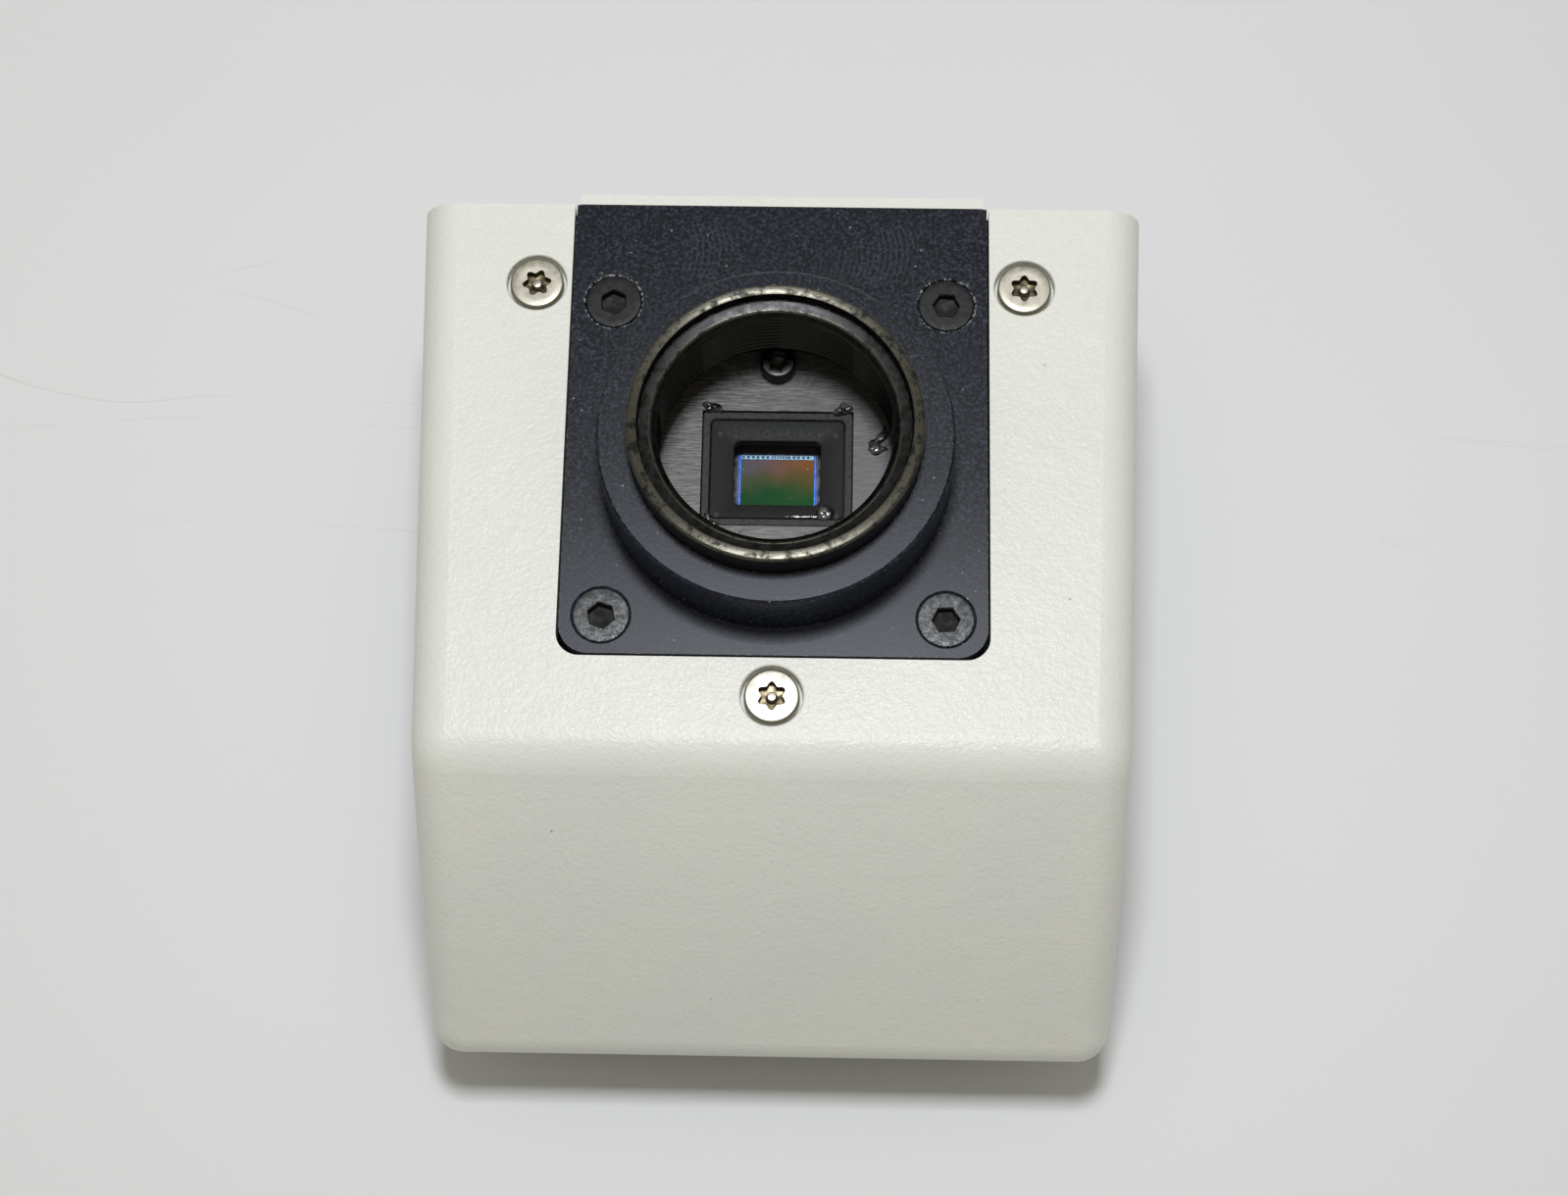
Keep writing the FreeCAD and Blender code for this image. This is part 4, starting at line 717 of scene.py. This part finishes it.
def make_hood_screws(steel, recess_steel_painted_shade):
    """Flat pan heads with a six-lobed recess and the pin that keeps ordinary drivers out."""
    low, high = box_mm("hood_screws")
    foot = low.z
    top = high.z
    seat = top - 1.35
    shank = 1.5
    head = 2.9
    pin = 0.53
    lobes = star_reach(1.5, 1.06)
    mouth = star_reach(1.58, 1.14)
    # band 1, the recess's lobes and floor, takes a dark steel: painted shade in the recess
    rows, paints = split_outline([
        (1.1, foot, 0), (1.45, foot + 0.35, 0), (shank, foot + 0.6, 0), (shank, seat, 0),
        (head - 0.1, seat, 0), (head, seat + 0.1, 0), (head, top - 0.22, 0), (head - 0.04, top - 0.1, 0),
        (head - 0.14, top - 0.02, 0), (head - 0.24, top, 0), (1.9, top, 0), (mouth, top - 0.01, 0),
        (lobes, top - 0.1, 1), (lobes, top - 0.95, 1), (pin + 0.13, top - 1.0, 1),
        (pin + 0.03, top - 0.95, 1), (pin, top - 0.4, 0), (pin - 0.11, top - 0.28, 0), (0.15, top - 0.24, 0),
    ])
    turns = (10, 30, 30)
    places = [at(x, y, 0, math.radians(turn)) for (x, y), turn in zip(HOOD_SCREWS, turns)]
    turned("hood_screw_heads", rows, places, [steel, recess_steel_painted_shade], ("hood_screws",), paints,
           sharp=30)


# ---- pieces of the chamber ----

def make_floor_screw(steel):
    """The small socket cap screw on the chamber's floor."""
    low, high = box_mm("floor_screw")
    top = high.z
    seat = FLOOR_TOP
    shank = 1.0
    head = 1.9
    socket = hexagon_reach(1.75)
    rows = [(shank - 0.3, low.z), (shank, low.z + 0.3), (shank, seat), (head - 0.08, seat),
            (head, seat + 0.08), (head, top - 0.24), (head - 0.04, top - 0.1), (head - 0.14, top - 0.02),
            (head - 0.24, top), (1.15, top), (hexagon_reach(1.95), top - 0.02), (socket, top - 0.12),
            (socket, top - 1.05), (0.2, top - 1.3)]
    x, y = FLOOR_SCREW
    turned("floor_cap_screw", rows, [at(x, y, 0, 0.3)], [steel], ("floor_screw",), sharp=28)


def make_mask(paint, strip_paint):
    """The black mask round the chip, its raised border strip and its four pricked marks."""
    middle = (0.0, (MASK_LOW.y + MASK_HIGH.y) / 2)
    wide = (MASK_HIGH.x - MASK_LOW.x) / 2
    high = (MASK_HIGH.y - MASK_LOW.y) / 2
    foot = MASK_LOW.z
    top = MASK_HIGH.z
    border = 0.8
    inner_wide = wide - border
    inner_high = high - border
    strip = [
        rounded_loop(wide, high, 0.35, foot, middle),
        rounded_loop(wide, high, 0.35, top - 0.12, middle),
        rounded_loop(wide - 0.1, high - 0.1, 0.3, top, middle),
        rounded_loop(inner_wide + 0.08, inner_high + 0.08, 0.7, top, middle),
        rounded_loop(inner_wide, inner_high, 0.62, top - 0.1, middle),
        rounded_loop(inner_wide, inner_high, 0.62, foot, middle),
    ]
    add_piece("mask_border", [strip], [strip_paint], sharp=40, closed=True)
    edge_wide = inner_wide - 0.1
    edge_high = inner_high - 0.1
    window_wide = 4.65
    window_high = 3.65
    sunk = top - 0.14
    plate = [
        rounded_loop(edge_wide, edge_high, 0.55, foot, middle),
        rounded_loop(edge_wide, edge_high, 0.55, sunk - 0.1, middle),
        rounded_loop(edge_wide - 0.1, edge_high - 0.1, 0.5, sunk, middle),
        rounded_loop(window_wide + 0.2, window_high + 0.2, 0.9, sunk),
        rounded_loop(window_wide + 0.05, window_high + 0.05, 0.8, sunk - 0.06),
        rounded_loop(window_wide, window_high, 0.7, sunk - 0.2),
        rounded_loop(window_wide, window_high, 0.7, foot),
    ]
    add_piece("sensor_mask_plate", [plate], [paint], replaces=("sensor_mask",), sharp=30,
              closed=True)
    rows = ((0.36, sunk + 0.005), (0.3, sunk + 0.05), (0.2, sunk + 0.055), (0.14, sunk + 0.01))
    places = [at(x, y, 0) for x, y in ((-6.2, 4.4), (6.2, 4.4), (-6.4, -4.9), (6.4, -4.9))]
    turned("mask_pricks", rows, places, [strip_paint], count=20, sharp=50)


def slabs(name, boxes, finish, replaces=()):
    """Thin plates. A box is its two X, two Y, foot, top, corner radius and softened upper edge."""
    skins = []
    for x_from, x_to, y_from, y_to, low, high, corner, lip in boxes:
        middle = ((x_from + x_to) / 2, (y_from + y_to) / 2)
        wide = (x_to - x_from) / 2
        tall = (y_to - y_from) / 2
        skins.append([
            rounded_loop(wide, tall, corner, low, middle, 2),
            rounded_loop(wide, tall, corner, high - lip, middle, 2),
            rounded_loop(wide - lip, tall - lip, max(0.005, corner - lip), high, middle, 2),
        ])
    add_piece(name, skins, [finish], replaces=replaces, sharp=30)


def make_chip(body_paint, image_paint, trace_paint, strip_paint, dash_paint):
    """The chip: its imaging area, its border traces and the row of contacts at its upper edge."""
    top = DIE_HIGH.z
    body_top = top - 0.03
    strip_level = top - 0.012
    image_foot = -3.5
    strip_top = 3.3
    slabs("chip_body", [(DIE_LOW.x, DIE_HIGH.x, DIE_LOW.y, DIE_HIGH.y, DIE_LOW.z, body_top, 0.05, 0.01)],
          body_paint, ("sensor_die",))
    slabs("chip_image_area", [(-3.92, 3.92, image_foot, 2.72, body_top, top, 0.02, 0.01)],
          image_paint)
    edges = ((-4.1, -4.0), (-4.28, -4.24), (4.0, 4.1), (4.24, 4.28))
    slabs("chip_side_traces", [(left, right, image_foot, strip_top, body_top, top - 0.005, 0.01, 0.004)
                               for left, right in edges], trace_paint)
    slabs("chip_contact_strip", [(-3.9, 3.9, 2.84, strip_top, body_top, strip_level, 0.02, 0.004)],
          strip_paint)
    row_end = 3.7
    dashes = []
    place = -row_end
    while place < row_end:
        in_middle = abs(place) < 1.1
        half = 0.08 if in_middle else 0.12
        dashes.append((place - half, place + half, 2.92, 3.2, strip_level, top, 0.02, 0.004))
        place += 0.3 if in_middle else 0.52
    slabs("chip_contacts", dashes, dash_paint, ("bond_pads",))


# The dome of a dab: each loop's share of the outline and of the height.
DOME = ((1.0, 0.0), (0.99, 0.22), (0.93, 0.48), (0.8, 0.74), (0.58, 0.92), (0.3, 1.0))


def blob(x, y, foot, wide, high, tall, lumps, turn=0.0):
    """The loops of one dab of adhesive: a low dome whose outline and skin wander."""
    phases = [random.uniform(0, 2 * math.pi) for order in range(4)]

    def outline(angle):
        wander = sum(lumps / (order + 1) * math.sin((order + 2) * angle + phase)
                     for order, phase in enumerate(phases))
        return 1 + wander
    count = 40
    loops = []
    for share, rise in DOME:
        points = []
        for step in range(count):
            angle = 2 * math.pi * step / count
            reach = share * outline(angle)
            spot = Vector((wide * reach * math.cos(angle), high * reach * math.sin(angle), 0))
            spot.rotate(Matrix.Rotation(turn, 3, "Z"))
            lift = noise.noise(Vector((spot.x * 1.7 + x, spot.y * 1.7 + y, 0.0))) * 0.3 * rise
            points.append(Vector((x + spot.x, y + spot.y, foot + tall * (rise + lift))))
        loops.append(points)
    return loops


def make_glue(resin):
    """Dabs at the mask's corners, a smear below the chip, a stray one and two nicks on the floor."""
    floor = FLOOR_TOP
    mask = MASK_HIGH.z - 0.13
    # x, y, foot, half width, half length, height, lumps and turn of each dab
    dabs = (
        (-7.15, 7.4, floor - 0.25, 0.9, 0.72, 0.75, 0.24),
        (-6.3, 7.2, floor - 0.2, 0.35, 0.3, 0.4, 0.25),
        (7.0, 7.3, floor - 0.25, 0.95, 0.75, 0.8, 0.22),
        (-6.8, -6.0, mask - 0.05, 0.75, 0.6, 0.4, 0.35),
        (-7.3, -5.3, mask - 0.05, 0.4, 0.6, 0.3, 0.3),
        (6.85, -5.9, mask - 0.05, 0.85, 0.5, 0.4, 0.35),
        (5.2, -4.6, mask - 0.02, 0.98, 0.98, 0.34, 0.03),
        (3.2, -5.0, mask - 0.05, 2.3, 0.26, 0.16, 0.16),
        (11.1, 4.1, floor - 0.05, 1.4, 0.5, 0.26, 0.3, 1.25),
        (10.6, 2.9, floor - 0.05, 1.15, 0.7, 0.3, 0.3, 0.15),
        (-4.05, -7.1, floor - 0.03, 0.45, 0.09, 0.08, 0.2, 0.5),
        (3.1, -7.5, floor - 0.03, 0.4, 0.12, 0.08, 0.2, 1.2),
    )
    skins = [blob(*dab) for dab in dabs]
    add_piece("glue_blobs", skins, [resin], replaces=("glue_dabs",), sharp=60)


# ---- pieces of the back and the end ----

def make_cap_screws(node, places, name, steel):
    """Socket cap screws that hold the heat sink, heads downwards."""
    tip = SINK_SEAT - box_mm(node)[1].z
    shank = 1.25
    head = 2.25
    tall = 2.0
    socket = hexagon_reach(2.0)
    rows = [(shank - 0.35, tip), (shank - 0.05, tip + 0.35), (shank, tip + 0.6), (shank, 0.0),
            (head - 0.1, 0.0), (head, 0.1), (head, tall - 0.35)]
    rows += rounded_edge(head, head - 0.3, tall - 0.3, tall)
    rows += [(1.45, tall), (hexagon_reach(2.2), tall), (socket, tall - 0.12), (socket, tall - 1.2),
             (0.3, tall - 1.5)]
    matrices = [facing_down(x, y, SINK_SEAT, index * 0.7) for index, (x, y) in enumerate(places)]
    turned(name, rows, matrices, [steel], (node,), sharp=28)


def make_feet(rubber):
    """Moulded rubber feet with a rounded tread edge and a shallow dish."""
    low, high = box_mm("rubber_feet")
    tall = high.z - low.z
    radius = 4.4
    rows = [(radius - 0.1, 0.0), (radius, 0.12), (radius, tall - 0.7)]
    rows += rounded_edge(radius, radius - 0.65, tall - 0.65, tall, 6)
    rows += [(2.9, tall), (2.7, tall - 0.06), (2.4, tall - 0.22), (1.2, tall - 0.34), (0.3, tall - 0.36)]
    matrices = [facing_down(x, y, high.z) for x, y in FEET]
    turned("rubber_foot_pads", rows, matrices, [rubber], ("rubber_feet",), sharp=40)


def make_panel_screws(steel):
    """Button heads with hexagon sockets across the end panel."""
    low, high = box_mm("panel_screws")
    length = high.y - low.y
    neck = length - 1.3
    shank = 1.25
    head = 2.3
    socket = hexagon_reach(1.6)
    rows = [(shank - 0.35, 0.0), (shank, 0.35), (shank, neck), (head - 0.1, neck), (head, neck + 0.1),
            (head, neck + 0.45)]
    rows += rounded_edge(head, 1.4, neck + 0.45, length, 6)
    rows += [(hexagon_reach(1.75), length), (socket, length - 0.1), (socket, length - 0.75),
             (0.3, length - 0.95)]
    matrices = [facing_y(x, low.y, z, index * 0.5) for index, (x, z) in enumerate(PANEL_SCREWS)]
    turned("panel_screw_heads", rows, matrices, [steel], ("panel_screws",), sharp=28)


def make_data_socket(shell_finish, tongue_finish, contact_finish):
    """A shielded rectangular socket: folded shell with a rolled lip, tongue and contacts."""
    low, high = box_mm("data_connector")
    back = low.y
    mouth = high.y
    wide = (high.x - low.x) / 2
    tall = (high.z - low.z) / 2
    wall = 0.55
    place = facing_y((low.x + high.x) / 2, 0, (low.z + high.z) / 2)

    def around(inset, radius, depth):
        return [place @ point for point in rounded_loop(wide - inset, tall - inset, radius, depth)]
    shell = [
        around(0.1, 0.7, back), around(0.0, 0.8, back + 0.1), around(0.0, 0.8, mouth - 0.2),
        around(0.08, 0.75, mouth - 0.05), around(0.25, 0.6, mouth), around(wall - 0.15, 0.5, mouth - 0.04),
        around(wall, 0.4, mouth - 0.2), around(wall, 0.4, back + 1.5),
    ]
    add_piece("data_socket_shell", [shell], [shell_finish], replaces=("data_connector",),
              sharp=40)
    half = wide - 2.4
    thick = 0.9
    tongue = [[place @ point for point in rounded_loop(half - inset, thick - inset, 0.2, depth)]
              for inset, depth in ((0, back + 1.2), (0, mouth - 1.4), (0.12, mouth - 1.2))]
    add_piece("data_socket_tongue", [tongue], [tongue_finish], sharp=30)
    contacts = []
    count = 9
    for index in range(count):
        spot = (index - (count - 1) / 2) * 2 * (half - 0.5) / (count - 1)
        for side in (-1, 1):
            shift = Vector((spot, side * (thick + 0.03), 0))
            loops = [rounded_loop(0.2, 0.06, 0.03, depth, arc=2) for depth in (back + 1.4, mouth - 1.6)]
            contacts.append([[place @ (point + shift) for point in loop] for loop in loops])
    add_piece("data_socket_contacts", contacts, [contact_finish], sharp=30)


def make_power_jack(plastic, steel):
    """A round inlet: knurled flange outside the panel, dark bore, bright centre pin."""
    low, high = box_mm("power_jack")
    place = facing_y((low.x + high.x) / 2, low.y, (low.z + high.z) / 2)
    length = high.y - low.y
    flange = (high.x - low.x) / 2
    outside = length - 1.5
    barrel = 3.9
    bore = 3.1
    pin = 1.0

    def knurl(angle):
        return flange - 0.08 - 0.1 * (0.5 + 0.5 * math.cos(24 * angle))
    rows = [(barrel - 0.3, 0.0), (barrel, 0.3), (barrel, outside), (flange - 0.1, outside),
            (flange - 0.05, outside + 0.12), (knurl, outside + 0.3), (knurl, length - 0.5),
            (flange - 0.3, length - 0.2), (flange - 0.6, length - 0.05), (4.2, length), (bore + 0.3, length),
            (bore + 0.05, length - 0.12), (bore, length - 0.3), (bore, 1.5), (pin, 1.5)]
    turned("power_inlet_body", rows, [place], [plastic], ("power_jack",), count=144)
    rows = [(pin, 1.4), (pin, length - 1.6), (0.85, length - 1.3), (0.4, length - 1.2)]
    turned("power_inlet_pin", rows, [place], [steel], count=48)


def make_status_lens(lens):
    """The indicator's domed lens."""
    low, high = box_mm("status_lens")
    place = facing_y((low.x + high.x) / 2, low.y, (low.z + high.z) / 2)
    radius = (high.x - low.x) / 2
    length = high.y - low.y
    shoulder = length - 0.45
    rows = [(radius - 0.1, 0.0), (radius, 0.1), (radius, shoulder)]
    rows += rounded_edge(radius, 0.2, shoulder, length, 7)
    turned("status_light", rows, [place], [lens], ("status_lens",), count=64, sharp=50)


# ---- every CAD node that stays, and its finish ----

PLAIN_FINISHES = {
    # slot: colour, roughness, metallic, mottle, grain, relief, and any stretch and worn edge
    "housing_metal": ((176, 178, 180), 0.38, 1.0, 0.08, 7.0, 0.004, (6, 1, 1)),
    "chassis_metal": ((104, 106, 108), 0.42, 0.9, 0.1, 5.0, 0.006, (1, 8, 1), shade(178, 178, 176)),
    "sink_black": ((34, 35, 38), 0.45, 0.4, 0.25, 4.0, 0.008, (8, 1, 1), shade(140, 140, 138)),
    "ceramic": ((74, 64, 66), 0.5, 0.0, 0.12, 9.0, 0.005),
    "white_ceramic": ((228, 228, 224), 0.45, 0.0, 0.04, 9.0, 0.003),
    "solder": ((190, 192, 194), 0.3, 1.0, 0.1, 9.0, 0.01),
    "copper": ((196, 122, 84), 0.32, 1.0, 0.12, 6.0, 0.004, (6, 1, 1)),
    "pellet_grey": ((110, 110, 116), 0.4, 0.8, 0.2, 8.0, 0.006),
    "pad_grey": ((150, 160, 170), 0.7, 0.0, 0.06, 6.0, 0.01),
    "foam_black": ((32, 32, 32), 0.95, 0.0, 0.3, 3.0, 0.08),
    "rubber_black": ((26, 26, 26), 0.6, 0.0, 0.15, 6.0, 0.006),
    "foot_rubber": ((34, 34, 34), 0.72, 0.0, 0.18, 5.0, 0.02, (1, 1, 1), shade(70, 68, 64)),
    "chip_black": ((30, 30, 31), 0.55, 0.0, 0.12, 9.0, 0.006),
    "flex_amber": ((176, 112, 36), 0.3, 0.0, 0.12, 2.0, 0.004, (1, 6, 1)),
    "desiccant_white": ((224, 222, 214), 0.9, 0.0, 0.05, 8.0, 0.02),
    "jack_black": ((22, 22, 23), 0.42, 0.0, 0.15, 7.0, 0.004, (1, 1, 1), shade(60, 60, 60)),
    "socket_shell": ((188, 188, 186), 0.28, 1.0, 0.06, 6.0, 0.004, (1, 1, 8)),
    "gold": ((226, 190, 110), 0.26, 1.0, 0.1, 6.0, 0.003),
    "silicon": ((58, 56, 66), 0.25, 0.2, 0.2, 6.0, 0.002),
    "zinc_screw": ((150, 150, 148), 0.32, 1.0, 0.12, 6.0, 0.006),
    "black_screw": ((36, 36, 38), 0.4, 0.5, 0.2, 6.0, 0.006),
}


def all_finishes():
    """One finish for each of the record's slots."""
    made = {}
    for slot, (colour, *rest) in PLAIN_FINISHES.items():
        made[slot] = plain(slot, shade(*colour), *rest)
    made["hood_paint"] = powder_coat("hood_paint")
    made["panel_paint"] = powder_coat("panel_paint", 0.033)
    made["black_anodised"] = anodised("black_anodised")
    made["ring_metal"] = turned_black("ring_metal")
    made["stainless"] = turned_steel("stainless", HOOD_SCREWS + CHAMBER_SCREWS + SINK_SCREWS)
    made["floor_metal"] = brushed_floor("floor_metal")
    made["mask_black"] = mask_finish("mask_black")
    made["optical_glass"] = clear_glass("optical_glass")
    made["adhesive"] = epoxy("adhesive")
    made["board_green"] = circuit("board_green")
    made["lens_green"] = green_lens("lens_green")
    return made


def finish_cad_nodes(finishes):
    """Give each CAD node the finish of the slot that its material names."""
    for node in frame["nodes"].values():
        slot = node.data.materials[0].name.split(".")[0]
        node.data.materials[0] = finishes[slot]
        node.data.set_sharp_from_angle(angle=math.radians(30))


# ---- the set: floor, light, camera ----

def table_finish():
    """A pale matt table with faint marks and scratches."""
    made = Finish("table_top")
    cloud = made.noise(0.006, 3.0)
    tone = made.mix(made.step(cloud, 0.3, 0.7), shade(233, 234, 236), shade(237, 238, 239))
    # hair-thin scratches follow the middle value of a stretched noise
    strokes = made.noise(0.02, 2.0, 0.5, (0.08, 1.0, 1), 3.0)
    lines = made.times(made.step(strokes, 0.498, 0.5), made.step(strokes, 0.502, 0.5))
    patches = made.step(made.noise(0.012, 2.0), 0.56, 0.66, 0.0, 0.3)
    made.colour(made.mix(made.times(lines, patches), tone, shade(170, 166, 164)))
    made.gloss(cloud, 0.5, 0.62)
    return made.material


def make_table():
    """A wide flat table under the feet."""
    half = 1500 * MM
    level = CAD_BOX[0].z
    corners = [(x, y, level) for x, y in ((-half, -half), (half, -half), (half, half), (-half, half))]
    mesh = bpy.data.meshes.new("table")
    mesh.from_pydata(corners, [], [(0, 1, 2, 3)])
    mesh.materials.append(table_finish())
    table = bpy.data.objects.new("table", mesh)
    bpy.context.scene.collection.objects.link(table)


def make_lamp(name, reach, lean, turn, size, power, colour):
    """A soft square lamp at a distance, leaned from overhead, turned about Z, aimed at the object."""
    lean = math.radians(lean)
    turn = math.radians(turn)
    place = Vector((math.sin(lean) * math.sin(turn), math.sin(lean) * math.cos(turn), math.cos(lean))) * reach
    data = bpy.data.lights.new(name, "AREA")
    data.size = size * MM
    data.energy = power
    data.color = colour
    lamp = bpy.data.objects.new(name, data)
    lamp.location = place * MM
    lamp.rotation_mode = "QUATERNION"
    lamp.rotation_quaternion = place.to_track_quat("Z", "Y")
    bpy.context.scene.collection.objects.link(lamp)


def make_world(horizon, zenith):
    """Room light: dim near the horizon, brighter overhead."""
    world = bpy.data.worlds.new("studio")
    world.use_nodes = True
    tree = world.node_tree
    background = tree.nodes["Background"]
    direction = tree.nodes.new("ShaderNodeTexCoord")
    split = tree.nodes.new("ShaderNodeSeparateXYZ")
    level = tree.nodes.new("ShaderNodeMapRange")
    level.inputs["From Min"].default_value = 0.0
    level.inputs["From Max"].default_value = 0.9
    level.inputs["To Min"].default_value = horizon
    level.inputs["To Max"].default_value = zenith
    tree.links.new(direction.outputs["Generated"], split.inputs[0])
    tree.links.new(split.outputs["Z"], level.inputs["Value"])
    tree.links.new(level.outputs[0], background.inputs["Strength"])
    background.inputs["Color"].default_value = (1.0, 0.97, 0.82, 1.0)
    bpy.context.scene.world = world


def make_camera():
    """The view from in front of the slope and above, nearly square to the mount."""
    place = Vector((6.4, -120.9, 284.25))
    pan, tilt, roll = 0.018, 0.343, 0.020
    data = bpy.data.cameras.new("camera_view")
    data.sensor_width = 36
    data.lens = 68.98
    data.clip_start = 0.01
    data.clip_end = 10
    camera = bpy.data.objects.new("camera_view", data)
    turn = Matrix.Rotation(pan, 4, "Y") @ Matrix.Rotation(tilt, 4, "X") @ Matrix.Rotation(roll, 4, "Z")
    camera.matrix_world = Matrix.Translation(place * MM) @ turn
    bpy.context.scene.collection.objects.link(camera)
    bpy.context.scene.camera = camera


# ---- making it all ----

bpy.context.scene.view_settings.view_transform = "Standard"
make_camera()
make_world(horizon=0.12, zenith=0.38)
make_lamp("key", reach=480, lean=7, turn=2, size=95, power=1.45, colour=(0.98, 1.0, 1.05))
make_table()

FINISHES = all_finishes()
finish_cad_nodes(FINISHES)
STAINLESS = FINISHES["stainless"]
PANEL_STEEL = plain("panel_screw_steel", shade(196, 194, 188), 0.26, 1.0, 0.1, 7.0, 0.005)

make_threaded_ring(FINISHES["ring_metal"], worn_rim("rubbed_rim"),
                   plain("thread_black", shade(13, 12, 12), 0.3, 0.2, 0.3, 5.0))
# the lower screws' finish is painted lighter and the upper ones' darker: painted light and shade on copies of
# one black oxide
make_plate_screws([black_screw("screw_black_lower", 1.5), black_screw("screw_black_upper", 0.7)],
                  plain("socket_black_painted_shade", shade(7, 7, 7), 0.7, 0.0, 0.3, 5.0))
make_hood_screws(STAINLESS, plain("recess_steel_painted_shade", shade(96, 88, 68), 0.3, 0.9, 0.3, 4.0, 0.01))
make_floor_screw(turned_steel("cap_screw_steel", [FLOOR_SCREW], (74, 72, 70), 0.3))
make_mask(FINISHES["mask_black"], mask_finish("mask_border_paint", (74, 75, 74), 0.3))
make_chip(FINISHES["silicon"], chip_surface("chip_surface"), painted_glow_trace("chip_trace_painted_glow", (50, 120, 250), 0.5),
          painted_glow_trace("chip_strip_painted_glow", (150, 190, 232), 0.2), FINISHES["chip_black"])
make_glue(FINISHES["adhesive"])
make_cap_screws("chamber_screws", CHAMBER_SCREWS, "chamber_cap_screws", STAINLESS)
make_cap_screws("sink_screws", SINK_SCREWS, "sink_cap_screws", STAINLESS)
make_feet(FINISHES["foot_rubber"])
make_panel_screws(PANEL_STEEL)
make_data_socket(FINISHES["socket_shell"], FINISHES["jack_black"], FINISHES["gold"])
make_power_jack(FINISHES["jack_black"], PANEL_STEEL)
make_status_lens(FINISHES["lens_green"])
